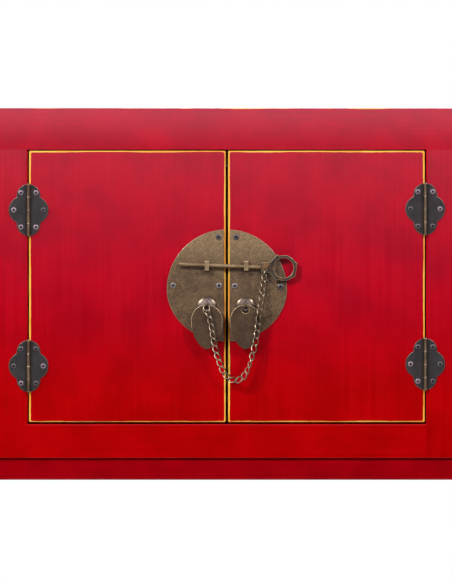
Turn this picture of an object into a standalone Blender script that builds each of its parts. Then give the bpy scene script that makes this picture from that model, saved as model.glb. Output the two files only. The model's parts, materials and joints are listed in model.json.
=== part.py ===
"""Lacquered console table: a two-door case on four corner posts, with leaf hinges, a round lock plate in two
halves, a sliding bolt on a chain and two drop pulls. Metres, +Z up, and the doors face -Y."""

import math

import bmesh
import bpy
from mathutils import Matrix, Vector

# Whole piece
WIDTH = 0.630
DEPTH = 0.270
HEIGHT = 0.830
GAP = 0.0003
EDGE_ROUND = 0.0012

# Top: a mitred frame round a flush panel
TOP_HEIGHT = 0.0415
TOP_RAIL_WIDTH = 0.052
TOP_PANEL_THICKNESS = 0.012
TOP_PANEL_LAP = 0.008

# Case
CASE_HEIGHT = 0.350
POST_WIDTH = 0.045
FACE_THICKNESS = 0.022
OPENING_WIDTH = 0.3986
BOTTOM_RAIL_HEIGHT = 0.0339
SIDE_THICKNESS = 0.014
SIDE_SETBACK = 0.005
BACK_THICKNESS = 0.009
BACK_SETBACK = 0.004
FLOOR_THICKNESS = 0.012
STOP_THICKNESS = 0.012
APRON_HEIGHT = 0.0219
APRON_THICKNESS = 0.018
APRON_SETBACK = 0.003

# Doors
DOOR_THICKNESS = 0.018
DOOR_SIDE_GAP = 0.0013
DOOR_TOP_GAP = 0.0012
DOOR_BOTTOM_GAP = 0.0019
DOOR_CENTRE_GAP = 0.0024

# Hinges: three round lobes on each leaf, and four knuckles on the pin. Drops are measured from the top
HINGE_DROPS = {"left": (0.1020, 0.2580), "right": (0.1010, 0.2560)}
HINGE_LEAF = 0.0010
HINGE_INSIDE = 0.0010
END_LOBE_RADIUS = 0.0118
END_LOBE_RISE = 0.0140
MIDDLE_LOBE_RADIUS = 0.0138
MIDDLE_LOBE_OUT = 0.0060
KNUCKLE_COUNT = 4
KNUCKLE_WALL = 0.0006
KNUCKLE_LIFT = 0.0001
PIN_RADIUS = 0.0007
PIN_CLEARANCE = 0.0003
PIN_HEAD_LAP = 0.0003
PIN_HEAD_HEIGHT = 0.0008
PIN_HEAD_ROUND = 0.0004

# Lock plate: a disc with a flattened lower half, split between the doors
LOCK_DROP = 0.1815
PLATE_RADIUS = 0.0600
PLATE_LOWER_REACH = 0.0520
PLATE_THICKNESS = 0.0012
PLATE_EDGE_INSET = 0.0018

# Bolt, and the straps that hold it
BOLT_RISE = 0.0236
BOLT_CLEARANCE = 0.0013
BOLT_TILT = math.radians(2.2)
SHAFT_RADIUS = 0.0017
SHAFT_LEFT = 0.0479
SHAFT_RIGHT = 0.0346
SHAFT_END_ROUND = 0.0009
SHAFT_INTO_COLLAR = 0.0016
HEAD_THICKNESS = 0.0028
COLLAR_WIDTH = 0.0082
COLLAR_RISE = 0.0053
RING_CENTRE_OUT = 0.0222
RING_OUTER_RADIUS = 0.0128
RING_WIRE = 0.0029
RING_BACK = 0.0086
HORN_OUT = 0.0150
HORN_RISE = 0.0134
NIB_ANGLES = (21.0, -35.0)
NIB_HEIGHT = 0.0016
NIB_SPREAD = 6.0
CHAIN_HOLE_OUT = 0.0034
CHAIN_HOLE_RADIUS = 0.0013
CHAIN_HOLE_LIP = 0.0013
KEEPER_PLACES = {"left": -0.0200, "right": 0.0193}
KEEPER_WIDTH = 0.0043
KEEPER_ROOM = 0.0022
KEEPER_METAL = 0.0011
KEEPER_CLEARANCE = 0.0004

# Drop pulls: domed boss, wire eye and egg-shaped tab
PULL_PLACES = {"left": -0.0201, "right": 0.0185}
BOSS_RADIUS = 0.0102
BOSS_HEIGHT = 0.0026
BOSS_RIM = 0.0006
EYE_DROP = 0.01405
EYE_PLAY = 0.00035
EYE_WIRE_RADIUS = 0.00065
STEM_RADIUS = 0.0009
STEM_CLEARANCE = 0.0004
STEM_TAIL_LENGTH = 0.018
STEM_TAIL_HEIGHT = 0.0022
STEM_TAIL_THICKNESS = 0.0012
TAB_LENGTH = 0.0446
TAB_WIDTH = 0.0312
TAB_SHOULDER = 0.0160
TAB_THICKNESS = 0.0012
TAB_RIM = 0.0015
TAB_HOLE_RADIUS = 0.0037
TAB_POINT = 1.27

# Chain: twisted oval links between a ring in the left eye and a ring in the bolt's collar
LINK_PITCH = 0.0072
LINK_WIDTH = 0.0066
LINK_WIRE = 0.0012
LINK_TWIST = math.radians(45.0)
LINK_PRESS = 0.0003
LINK_DEPTH = 0.0016
CHAIN_CLEARANCE = 0.00045
EYE_LINK_RADIUS = 0.0032
EYE_LINK_LEAN = math.radians(15.0)
EYE_LINK_EXIT = math.radians(30.0)
COLLAR_LINK_RADIUS = 0.00245
# Each point: right of the plate's centre, below it, and how far the chain stands out there
# (1 in front of the pull tabs, 0 at the bolt)
CHAIN_ROUTE = (
    (-0.0153, 0.0345, 1.0),
    (-0.0134, 0.0475, 1.0),
    (-0.0109, 0.0605, 1.0),
    (-0.0064, 0.0750, 1.0),
    (-0.0012, 0.0855, 1.0),
    (0.0076, 0.0911, 1.0),
    (0.0159, 0.0879, 1.0),
    (0.0212, 0.0790, 1.0),
    (0.0263, 0.0620, 1.0),
    (0.0297, 0.0465, 1.0),
    (0.0317, 0.0295, 1.0),
    (0.0334, 0.0180, 0.92),
    (0.0351, 0.0065, 0.55),
    (0.0364, -0.0050, 0.15),
)

# How finely round shapes are cut into facets
KNUCKLE_SIDES = 14
PIN_SIDES = 12
LOBE_STEPS = 8
MIDDLE_LOBE_STEPS = 10
PLATE_STEPS = 40
SHAFT_SIDES = 16
SHAFT_END_STEPS = 2
RING_STEPS = 44
RING_HOLE_STEPS = 24
SMALL_HOLE_SIDES = 12
BOSS_SIDES = 20
BOSS_STEPS = 6
EYE_STEPS = 20
EYE_SIDES = 8
STEM_SIDES = 10
TAB_STEPS = 14
TAB_HOLE_SIDES = 20
LINK_POINTS = 10
ROUTE_STEPS = 24
BEVEL_SEGMENTS = 2
BEVEL_ANGLE = math.radians(50.0)
SMOOTH_ANGLE = math.radians(40.0)

# Sizes that follow: the hinge's barrel, the bolt's straps, and an eye with room for the tab and the chain
PIN_BORE = PIN_RADIUS + PIN_CLEARANCE
KNUCKLE_RADIUS = PIN_BORE + KNUCKLE_WALL
PIN_HEAD_RADIUS = PIN_BORE + PIN_HEAD_LAP
KEEPER_RISE = SHAFT_RADIUS + KEEPER_ROOM + KEEPER_METAL
EYE_INSIDE = TAB_THICKNESS / 2 + GAP + LINK_WIRE + GAP + EYE_PLAY
EYE_RADIUS = EYE_INSIDE + EYE_WIRE_RADIUS
STEM_BORE = STEM_RADIUS + STEM_CLEARANCE

# Levels and planes that follow
TOP_UNDERSIDE = HEIGHT - TOP_HEIGHT
CASE_BOTTOM = HEIGHT - CASE_HEIGHT
OPENING_BOTTOM = CASE_BOTTOM + BOTTOM_RAIL_HEIGHT
LOCK_HEIGHT = HEIGHT - LOCK_DROP
PLATE_FRONT = GAP + PLATE_THICKNESS
BOSS_FRONT = PLATE_FRONT + GAP + BOSS_HEIGHT
EYE_OUT = BOSS_FRONT + GAP + EYE_RADIUS + EYE_WIRE_RADIUS
TAB_FRONT = EYE_OUT + TAB_THICKNESS / 2
BOLT_OUT = PLATE_FRONT + BOLT_CLEARANCE + SHAFT_RADIUS
CHAIN_OUT = TAB_FRONT + CHAIN_CLEARANCE + LINK_DEPTH
FRONT_REACH = CHAIN_OUT + LINK_DEPTH
FACE_Y = (FRONT_REACH - DEPTH) / 2
BACK_Y = FACE_Y + DEPTH
EYE_HEIGHT = LOCK_HEIGHT - EYE_DROP
STEM_HEIGHT = EYE_HEIGHT - EYE_INSIDE - STEM_RADIUS
BOLT_HEIGHT = LOCK_HEIGHT + BOLT_RISE
HINGE_OUT = GAP + KNUCKLE_LIFT + KNUCKLE_RADIUS
HINGE_X = OPENING_WIDTH / 2 - HINGE_INSIDE
HINGE_REACH = END_LOBE_RISE + END_LOBE_RADIUS
SIDES = {"left": -1, "right": 1}

# Finish: colour, roughness and metallic value
FINISHES = {
    "red_lacquer": ((0.44, 0.012, 0.022), 0.38, 0.0),
    "stained_wood": ((0.10, 0.035, 0.022), 0.65, 0.0),
    "aged_brass": ((0.23, 0.16, 0.115), 0.45, 1.0),
    "dark_bronze": ((0.055, 0.047, 0.048), 0.50, 1.0),
    "yellow_brass": ((0.40, 0.29, 0.17), 0.40, 1.0),
    "grey_iron": ((0.13, 0.11, 0.095), 0.50, 1.0),
}


# Helpers that make shapes
def in_front(distance):
    """The Y of a plane this far in front of the case's face."""
    return FACE_Y - distance


def box_shape(low, high):
    shape = bmesh.new()
    bmesh.ops.create_cube(shape, size=1.0)
    size = Vector(high) - Vector(low)
    centre = (Vector(high) + Vector(low)) / 2
    bmesh.ops.scale(shape, vec=size, verts=shape.verts)
    bmesh.ops.translate(shape, vec=centre, verts=shape.verts)
    return shape


def extruded_shape(points, travel):
    """A flat outline of 3-D points, extruded along one vector."""
    shape = bmesh.new()
    face = shape.faces.new([shape.verts.new(point) for point in points])
    grown = bmesh.ops.extrude_face_region(shape, geom=[face])
    moved = [item for item in grown["geom"] if isinstance(item, bmesh.types.BMVert)]
    bmesh.ops.translate(shape, vec=travel, verts=moved)
    return shape


def plate_shape(outline, back, front):
    """A plate with an outline of (x, z) points, between two distances in front of the face."""
    points = [(x, in_front(back), z) for x, z in outline]
    return extruded_shape(points, (0.0, back - front, 0.0))


def rod_shape(start, end, radius, sides):
    shape = bmesh.new()
    start = Vector(start)
    end = Vector(end)
    along = end - start
    place = Matrix.Translation((start + end) / 2) @ along.to_track_quat("Z", "Y").to_matrix().to_4x4()
    bmesh.ops.create_cone(
        shape, cap_ends=True, segments=sides, radius1=radius, radius2=radius, depth=along.length, matrix=place
    )
    return shape


def turned_shape(profile, centre, axis, across, steps):
    """A closed profile of (radius, height) points, spun once round an axis through the centre."""
    shape = bmesh.new()
    axis = Vector(axis)
    across = Vector(across)
    centre = Vector(centre)
    loop = [shape.verts.new(centre + across * radius + axis * height) for radius, height in profile]
    edges = [shape.edges.new((loop[i - 1], loop[i])) for i in range(len(loop))]
    bmesh.ops.spin(
        shape, geom=loop + edges, cent=centre, axis=axis, angle=math.tau, steps=steps, use_merge=True
    )
    bmesh.ops.remove_doubles(shape, verts=shape.verts, dist=1e-7)
    return shape


def wire_ring_shape(centre, axis, across, radius, wire_radius, steps, sides):
    profile = []
    for i in range(sides):
        angle = math.tau * i / sides
        profile.append((radius + wire_radius * math.cos(angle), wire_radius * math.sin(angle)))
    return turned_shape(profile, centre, axis, across, steps)


def arc_points(centre, radius, start, end, steps):
    """Points on an arc, with angles in radians from +x towards +z."""
    points = []
    for i in range(steps + 1):
        angle = start + (end - start) * i / steps
        points.append((centre[0] + radius * math.cos(angle), centre[1] + radius * math.sin(angle)))
    return points


# Helpers that make objects
def add_material(name, finish):
    colour, roughness, metallic = FINISHES[finish]
    material = bpy.data.materials.new(name + "_" + finish)
    material.use_nodes = True
    shader = material.node_tree.nodes["Principled BSDF"]
    shader.inputs["Base Color"].default_value = (*colour, 1.0)
    shader.inputs["Roughness"].default_value = roughness
    shader.inputs["Metallic"].default_value = metallic
    return material


def add_object(name, shape):
    bmesh.ops.recalc_face_normals(shape, faces=shape.faces)
    mesh = bpy.data.meshes.new(name)
    shape.to_mesh(mesh)
    shape.free()
    piece = bpy.data.objects.new(name, mesh)
    bpy.context.scene.collection.objects.link(piece)
    return piece


def combine(piece, shape, operation):
    """Join a shape to the piece, or cut it away, and keep the result as the piece's mesh."""
    tool = add_object("tool", shape)
    step = piece.modifiers.new("combine", "BOOLEAN")
    step.operation = operation
    step.solver = "EXACT"
    step.object = tool
    bpy.context.view_layer.update()
    evaluated = piece.evaluated_get(bpy.context.evaluated_depsgraph_get())
    combined = bpy.data.meshes.new_from_object(evaluated)
    piece.modifiers.clear()
    piece.data = combined
    bpy.data.objects.remove(tool)


def round_edges(piece):
    bevel = piece.modifiers.new("rounded_edges", "BEVEL")
    bevel.width = EDGE_ROUND
    bevel.segments = BEVEL_SEGMENTS
    bevel.limit_method = "ANGLE"
    bevel.angle_limit = BEVEL_ANGLE


def finish_piece(piece, finish, smooth=True):
    piece.data.materials.clear()
    piece.data.materials.append(add_material(piece.name, finish))
    if smooth:
        piece.data.shade_smooth()
        piece.data.set_sharp_from_angle(angle=SMOOTH_ANGLE)
    return piece


def add_board(name, low, high, finish="red_lacquer"):
    board = add_object(name, box_shape(low, high))
    round_edges(board)
    return finish_piece(board, finish, smooth=False)


def add_pivot(name, place, pieces):
    """An empty on a joint's axis, with the pieces that move about it as its children."""
    pivot = bpy.data.objects.new(name, None)
    pivot.empty_display_size = 0.02
    pivot.location = place
    bpy.context.scene.collection.objects.link(pivot)
    for piece in pieces:
        piece.parent = pivot
        piece.matrix_parent_inverse = Matrix.Translation(place).inverted()
    return pivot


# Top
def add_top():
    ledge = TOP_HEIGHT - TOP_PANEL_THICKNESS - GAP
    inner = TOP_RAIL_WIDTH - TOP_PANEL_LAP
    profile = (
        (0.0, 0.0),
        (0.0, TOP_HEIGHT),
        (inner, TOP_HEIGHT),
        (inner, ledge),
        (TOP_RAIL_WIDTH, ledge),
        (TOP_RAIL_WIDTH, 0.0),
    )
    rails = {
        "top_front_rail": (WIDTH, 0.0, (0.0, FACE_Y)),
        "top_back_rail": (WIDTH, math.pi, (0.0, BACK_Y)),
        "top_left_rail": (DEPTH, -math.pi / 2, (-WIDTH / 2, (FACE_Y + BACK_Y) / 2)),
        "top_right_rail": (DEPTH, math.pi / 2, (WIDTH / 2, (FACE_Y + BACK_Y) / 2)),
    }
    mitre_gap = GAP / math.sqrt(2.0)
    for name, (length, turn, (x, y)) in rails.items():
        start = [(-length / 2 + inward + mitre_gap, inward, height) for inward, height in profile]
        shape = extruded_shape(start, (0.0, 0.0, 0.0))
        shape.verts.ensure_lookup_table()
        for vert in shape.verts[len(start):]:
            vert.co.x = -vert.co.x
        place = Matrix.Translation((x, y, TOP_UNDERSIDE)) @ Matrix.Rotation(turn, 4, "Z")
        bmesh.ops.transform(shape, matrix=place, verts=shape.verts)
        rail = add_object(name, shape)
        round_edges(rail)
        finish_piece(rail, "red_lacquer", smooth=False)
    reach = WIDTH / 2 - inner - GAP
    add_board(
        "top_panel",
        (-reach, FACE_Y + inner + GAP, HEIGHT - TOP_PANEL_THICKNESS),
        (reach, BACK_Y - inner - GAP, HEIGHT),
    )


# Case
def add_case():
    under_top = TOP_UNDERSIDE - GAP
    post_inner = WIDTH / 2 - POST_WIDTH
    for side, sign in SIDES.items():
        outer = sign * WIDTH / 2
        inner = sign * post_inner
        left, right = min(outer, inner), max(outer, inner)
        add_board("leg_front_" + side, (left, FACE_Y, 0.0), (right, FACE_Y + POST_WIDTH, under_top))
        add_board("leg_back_" + side, (left, BACK_Y - POST_WIDTH, 0.0), (right, BACK_Y, under_top))
        edge = sign * OPENING_WIDTH / 2
        joint = sign * (post_inner - GAP)
        add_board(
            side + "_stile",
            (min(edge, joint), FACE_Y, CASE_BOTTOM),
            (max(edge, joint), FACE_Y + FACE_THICKNESS, under_top),
        )
        skin = sign * (WIDTH / 2 - SIDE_SETBACK)
        lining = sign * (WIDTH / 2 - SIDE_SETBACK - SIDE_THICKNESS)
        add_board(
            side + "_side_panel",
            (min(skin, lining), FACE_Y + POST_WIDTH + GAP, CASE_BOTTOM),
            (max(skin, lining), BACK_Y - POST_WIDTH - GAP, under_top),
        )
    rail_reach = OPENING_WIDTH / 2 - GAP
    add_board(
        "bottom_rail",
        (-rail_reach, FACE_Y, CASE_BOTTOM),
        (rail_reach, FACE_Y + FACE_THICKNESS, OPENING_BOTTOM),
    )
    back_reach = post_inner - GAP
    back_front = BACK_Y - BACK_SETBACK - BACK_THICKNESS
    add_board(
        "back_panel",
        (-back_reach, back_front, CASE_BOTTOM),
        (back_reach, BACK_Y - BACK_SETBACK, under_top),
        "stained_wood",
    )
    stop_front = FACE_Y + DOOR_THICKNESS + GAP
    add_board(
        "door_stop",
        (-rail_reach, stop_front, under_top - STOP_THICKNESS),
        (rail_reach, stop_front + STOP_THICKNESS, under_top),
        "stained_wood",
    )
    add_floor(post_inner, back_front)
    add_aprons(post_inner)


def add_floor(post_inner, back_front):
    """The cupboard's floor, notched round the four posts."""
    wide = WIDTH / 2 - SIDE_SETBACK - SIDE_THICKNESS - GAP
    narrow = post_inner - GAP
    front = FACE_Y + FACE_THICKNESS + GAP
    front_notch = FACE_Y + POST_WIDTH + GAP
    back_notch = BACK_Y - POST_WIDTH - GAP
    back = back_front - GAP
    half = (
        (narrow, front),
        (narrow, front_notch),
        (wide, front_notch),
        (wide, back_notch),
        (narrow, back_notch),
        (narrow, back),
    )
    outline = list(half) + [(-x, y) for x, y in reversed(half)]
    points = [(x, y, OPENING_BOTTOM - FLOOR_THICKNESS) for x, y in outline]
    floor = add_object("floor_panel", extruded_shape(points, (0.0, 0.0, FLOOR_THICKNESS)))
    finish_piece(floor, "stained_wood", smooth=False)


def add_aprons(post_inner):
    top = CASE_BOTTOM - GAP
    bottom = top - APRON_HEIGHT
    reach = post_inner - GAP
    front = FACE_Y + APRON_SETBACK
    back = BACK_Y - APRON_SETBACK
    add_board("front_apron", (-reach, front, bottom), (reach, front + APRON_THICKNESS, top))
    add_board("back_apron", (-reach, back - APRON_THICKNESS, bottom), (reach, back, top))
    for side, sign in SIDES.items():
        outer = sign * (WIDTH / 2 - APRON_SETBACK)
        inner = outer - sign * APRON_THICKNESS
        add_board(
            side + "_apron",
            (min(outer, inner), FACE_Y + POST_WIDTH + GAP, bottom),
            (max(outer, inner), BACK_Y - POST_WIDTH - GAP, top),
        )


# Doors
def add_door(side):
    sign = SIDES[side]
    hinge_edge = sign * (OPENING_WIDTH / 2 - DOOR_SIDE_GAP)
    free_edge = sign * DOOR_CENTRE_GAP / 2
    door = add_board(
        side + "_door",
        (min(hinge_edge, free_edge), FACE_Y, OPENING_BOTTOM + DOOR_BOTTOM_GAP),
        (max(hinge_edge, free_edge), FACE_Y + DOOR_THICKNESS, TOP_UNDERSIDE - DOOR_TOP_GAP),
    )
    combine(door, stem_hole_shape(side), "DIFFERENCE")
    return finish_piece(door, "red_lacquer", smooth=False)


def stem_hole_shape(side):
    """The hole for a pull's wire stem, right through the door and its plate."""
    x = PULL_PLACES[side]
    start = (x, in_front(BOSS_FRONT + BOSS_HEIGHT), STEM_HEIGHT)
    end = (x, in_front(-2 * DOOR_THICKNESS), STEM_HEIGHT)
    return rod_shape(start, end, STEM_BORE, SMALL_HOLE_SIDES)


# Hinges
def leaf_outline(own_knuckles):
    """One leaf's (out, up) outline: three lobes outside, and steps for the knuckles along the pin."""
    rise = END_LOBE_RISE
    reach = math.hypot(MIDDLE_LOBE_OUT, rise)
    to_middle = math.atan2(-rise, MIDDLE_LOBE_OUT)
    cosine = (END_LOBE_RADIUS**2 + reach**2 - MIDDLE_LOBE_RADIUS**2) / (2 * END_LOBE_RADIUS * reach)
    meet = to_middle + math.acos(cosine)
    meet_point = (END_LOBE_RADIUS * math.cos(meet), rise + END_LOBE_RADIUS * math.sin(meet))
    middle_angle = math.atan2(meet_point[1], meet_point[0] - MIDDLE_LOBE_OUT)
    inner = KNUCKLE_RADIUS + GAP
    top_start = math.acos((0.0 if 0 in own_knuckles else inner) / END_LOBE_RADIUS)
    bottom_end = math.acos((0.0 if KNUCKLE_COUNT - 1 in own_knuckles else inner) / END_LOBE_RADIUS)
    upper = arc_points((0.0, rise), END_LOBE_RADIUS, top_start, meet, LOBE_STEPS)
    middle_centre = (MIDDLE_LOBE_OUT, 0.0)
    middle = arc_points(middle_centre, MIDDLE_LOBE_RADIUS, middle_angle, -middle_angle, MIDDLE_LOBE_STEPS)
    lower = arc_points((0.0, -rise), END_LOBE_RADIUS, -meet, -bottom_end, LOBE_STEPS)
    outline = upper + middle[1:-1] + lower
    knuckle = 2 * HINGE_REACH / KNUCKLE_COUNT
    for i in reversed(range(1, KNUCKLE_COUNT)):
        level = HINGE_REACH - i * knuckle
        below = 0.0 if i in own_knuckles else inner
        above = 0.0 if i - 1 in own_knuckles else inner
        step = level - GAP / 2 if below == 0.0 else level + GAP / 2
        outline += [(below, step), (above, step)]
    return outline


def add_hinge(side, place, height):
    """A frame leaf, a door leaf and a headed pin. The frame leaf has the first and third knuckle."""
    sign = SIDES[side]
    x = sign * HINGE_X
    axis = Vector((x, in_front(HINGE_OUT), height))
    knuckle = 2 * HINGE_REACH / KNUCKLE_COUNT
    leaves = {"frame": (range(0, KNUCKLE_COUNT, 2), sign), "door": (range(1, KNUCKLE_COUNT, 2), -sign)}
    pieces = {}
    for kind, (own, way) in leaves.items():
        outline = [(x + way * out, height + up) for out, up in leaf_outline(own)]
        leaf = add_object(f"{side}_{place}_hinge_{kind}_leaf", plate_shape(outline, GAP, GAP + HINGE_LEAF))
        for i in own:
            top = axis + Vector((0.0, 0.0, HINGE_REACH - i * knuckle - GAP / 2))
            bottom = axis + Vector((0.0, 0.0, HINGE_REACH - (i + 1) * knuckle + GAP / 2))
            combine(leaf, rod_shape(bottom, top, KNUCKLE_RADIUS, KNUCKLE_SIDES), "UNION")
        bore = Vector((0.0, 0.0, 2 * HINGE_REACH))
        combine(leaf, rod_shape(axis - bore, axis + bore, PIN_BORE, PIN_SIDES), "DIFFERENCE")
        pieces[kind] = finish_piece(leaf, "dark_bronze")
    reach = HINGE_REACH + GAP
    top = reach + PIN_HEAD_HEIGHT
    half = (
        (0.0, top),
        (PIN_HEAD_RADIUS - PIN_HEAD_ROUND, top),
        (PIN_HEAD_RADIUS, top - PIN_HEAD_ROUND),
        (PIN_HEAD_RADIUS, reach),
        (PIN_RADIUS, reach),
    )
    profile = list(half) + [(radius, -level) for radius, level in reversed(half)]
    pin_shape = turned_shape(profile, axis, (0, 0, 1), (1, 0, 0), PIN_SIDES)
    finish_piece(add_object(f"{side}_{place}_hinge_pin", pin_shape), "yellow_brass")
    return pieces["door"]


# Lock plate and bolt keepers
def add_lock_plate(side):
    sign = SIDES[side]
    inner = DOOR_CENTRE_GAP / 2 + PLATE_EDGE_INSET
    outline = []
    start = math.acos(inner / PLATE_RADIUS)
    for i in range(PLATE_STEPS + 1):
        angle = start - 2 * start * i / PLATE_STEPS
        rise = PLATE_RADIUS if angle > 0 else PLATE_LOWER_REACH
        outline.append((sign * PLATE_RADIUS * math.cos(angle), LOCK_HEIGHT + rise * math.sin(angle)))
    plate = add_object(side + "_lock_plate", plate_shape(outline, GAP, PLATE_FRONT))
    combine(plate, stem_hole_shape(side), "DIFFERENCE")
    return finish_piece(plate, "aged_brass")


def add_keeper(side):
    """A flat strap over the bolt, with its two feet on the lock plate."""
    x = KEEPER_PLACES[side]
    foot = PLATE_FRONT + GAP
    front = BOLT_OUT + SHAFT_RADIUS + KEEPER_CLEARANCE + KEEPER_METAL
    rise = KEEPER_RISE
    inside = KEEPER_RISE - KEEPER_METAL
    under = front - KEEPER_METAL
    upper = ((foot, rise), (front - KEEPER_METAL / 2, rise), (front, rise - KEEPER_METAL / 2))
    inner = ((foot, -inside), (under, -inside), (under, inside), (foot, inside))
    outline = list(upper) + [(out, -up) for out, up in reversed(upper)] + list(inner)
    left = x - KEEPER_WIDTH / 2
    points = [(left, in_front(out), BOLT_HEIGHT + up) for out, up in outline]
    keeper = add_object(side + "_bolt_keeper", extruded_shape(points, (KEEPER_WIDTH, 0.0, 0.0)))
    return finish_piece(keeper, "aged_brass", smooth=False)


# Bolt
def tilt_matrix():
    centre = Vector((0.0, in_front(BOLT_OUT), BOLT_HEIGHT))
    return Matrix.Translation(centre) @ Matrix.Rotation(BOLT_TILT, 4, "Y") @ Matrix.Translation(-centre)


def ring_radius(degrees):
    """The finger ring's outer radius, with a small nib at each nib angle."""
    nibs = sum(math.exp(-(((degrees - nib) / NIB_SPREAD) ** 2)) for nib in NIB_ANGLES)
    return RING_OUTER_RADIUS + NIB_HEIGHT * nibs


def bolt_head_outline():
    """Collar, two horns and a ring, in (out, up) from the collar's left edge on the shaft's axis."""
    horn_angle = math.degrees(math.atan2(HORN_RISE, HORN_OUT - RING_CENTRE_OUT))
    collar = ((0.0, COLLAR_RISE), (COLLAR_WIDTH, COLLAR_RISE), (HORN_OUT, HORN_RISE))
    ring = []
    for i in range(1, RING_STEPS):
        degrees = horn_angle - 2 * horn_angle * i / RING_STEPS
        radius = ring_radius(degrees)
        angle = math.radians(degrees)
        ring.append((RING_CENTRE_OUT + radius * math.cos(angle), radius * math.sin(angle)))
    return list(collar) + ring + [(out, -up) for out, up in reversed(collar)]


def ring_hole_outline():
    inner = RING_OUTER_RADIUS - RING_WIRE
    start = math.acos(-RING_BACK / inner)
    return arc_points((RING_CENTRE_OUT, 0.0), inner, start, -start, RING_HOLE_STEPS)


def chain_hole_place():
    """The centre of the collar's chain hole before the bolt is tilted."""
    drop = COLLAR_RISE - CHAIN_HOLE_LIP - CHAIN_HOLE_RADIUS
    return Vector((SHAFT_RIGHT + CHAIN_HOLE_OUT, in_front(BOLT_OUT), BOLT_HEIGHT - drop))


def add_bolt():
    def placed(outline):
        return [(SHAFT_RIGHT + out, BOLT_HEIGHT + up) for out, up in outline]

    half = HEAD_THICKNESS / 2
    bolt = add_object("bolt", plate_shape(placed(bolt_head_outline()), BOLT_OUT - half, BOLT_OUT + half))
    cut = plate_shape(placed(ring_hole_outline()), BOLT_OUT - 2 * half, BOLT_OUT + 2 * half)
    combine(bolt, cut, "DIFFERENCE")
    hole = chain_hole_place()
    through = Vector((0.0, HEAD_THICKNESS, 0.0))
    bore = rod_shape(hole - through, hole + through, CHAIN_HOLE_RADIUS, SMALL_HOLE_SIDES)
    combine(bolt, bore, "DIFFERENCE")
    corner = (SHAFT_RADIUS - SHAFT_END_ROUND, SHAFT_LEFT - SHAFT_END_ROUND)
    inside = -SHAFT_RIGHT - SHAFT_INTO_COLLAR
    profile = [(0.0, SHAFT_LEFT)]
    profile += arc_points(corner, SHAFT_END_ROUND, math.pi / 2, 0.0, SHAFT_END_STEPS)
    profile += [(SHAFT_RADIUS, inside), (0.0, inside)]
    axis_point = (0.0, in_front(BOLT_OUT), BOLT_HEIGHT)
    combine(bolt, turned_shape(profile, axis_point, (-1, 0, 0), (0, 0, 1), SHAFT_SIDES), "UNION")
    bolt.data.transform(tilt_matrix())
    return finish_piece(bolt, "grey_iron")


# Drop pulls
def add_pull_boss(side):
    """A low dome with a bore for the stem, flat on the lock plate."""
    dome = BOSS_HEIGHT - BOSS_RIM
    sphere = (BOSS_RADIUS**2 + dome**2) / (2 * dome)
    profile = [(STEM_BORE, 0.0), (BOSS_RADIUS, 0.0)]
    for i in range(BOSS_STEPS + 1):
        radius = BOSS_RADIUS + (STEM_BORE - BOSS_RADIUS) * i / BOSS_STEPS
        profile.append((radius, BOSS_HEIGHT - sphere + math.sqrt(sphere**2 - radius**2)))
    centre = (PULL_PLACES[side], in_front(PLATE_FRONT + GAP), STEM_HEIGHT)
    boss = add_object(side + "_pull_boss", turned_shape(profile, centre, (0, -1, 0), (1, 0, 0), BOSS_SIDES))
    return finish_piece(boss, "aged_brass")


def add_pull_eye(side):
    """A wire ring in front of the boss, on a stem through the door that ends in tails bent flat behind it."""
    x = PULL_PLACES[side]
    centre = (x, in_front(EYE_OUT), EYE_HEIGHT)
    ring = wire_ring_shape(centre, (1, 0, 0), (0, 0, 1), EYE_RADIUS, EYE_WIRE_RADIUS, EYE_STEPS, EYE_SIDES)
    eye = add_object(side + "_pull_eye", ring)
    tail_front = DOOR_THICKNESS + GAP
    stem_front = (x, in_front(EYE_OUT), STEM_HEIGHT)
    stem_back = (x, in_front(-tail_front - STEM_TAIL_THICKNESS / 2), STEM_HEIGHT)
    combine(eye, rod_shape(stem_front, stem_back, STEM_RADIUS, STEM_SIDES), "UNION")
    tails = box_shape(
        (x - STEM_TAIL_LENGTH / 2, in_front(-tail_front), STEM_HEIGHT - STEM_TAIL_HEIGHT / 2),
        (
            x + STEM_TAIL_LENGTH / 2,
            in_front(-tail_front - STEM_TAIL_THICKNESS),
            STEM_HEIGHT + STEM_TAIL_HEIGHT / 2,
        ),
    )
    combine(eye, tails, "UNION")
    return finish_piece(eye, "yellow_brass")


def add_pull_tab(side):
    """A flat egg-shaped tab, whose rim above its hole hangs on the eye's lower wire."""
    x = PULL_PLACES[side]
    hole_top = EYE_HEIGHT - math.sqrt((EYE_INSIDE - GAP) ** 2 - (TAB_THICKNESS / 2) ** 2)
    middle = hole_top + TAB_RIM - TAB_SHOULDER
    half = TAB_WIDTH / 2
    outline = []
    for i in range(2 * TAB_STEPS):
        angle = math.pi / 2 - math.pi * i / TAB_STEPS
        across = math.cos(angle)
        up = math.sin(angle)
        if up >= 0:
            outline.append((x + half * across, middle + TAB_SHOULDER * up))
        else:
            narrowed = math.copysign(abs(across) ** TAB_POINT, across)
            outline.append((x + half * narrowed, middle + (TAB_LENGTH - TAB_SHOULDER) * up))
    back = EYE_OUT - TAB_THICKNESS / 2
    tab = add_object(side + "_pull_tab", plate_shape(outline, back, TAB_FRONT))
    hole_height = hole_top - TAB_HOLE_RADIUS
    start = (x, in_front(back - TAB_THICKNESS), hole_height)
    end = (x, in_front(TAB_FRONT + TAB_THICKNESS), hole_height)
    combine(tab, rod_shape(start, end, TAB_HOLE_RADIUS, TAB_HOLE_SIDES), "DIFFERENCE")
    return finish_piece(tab, "aged_brass")


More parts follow.
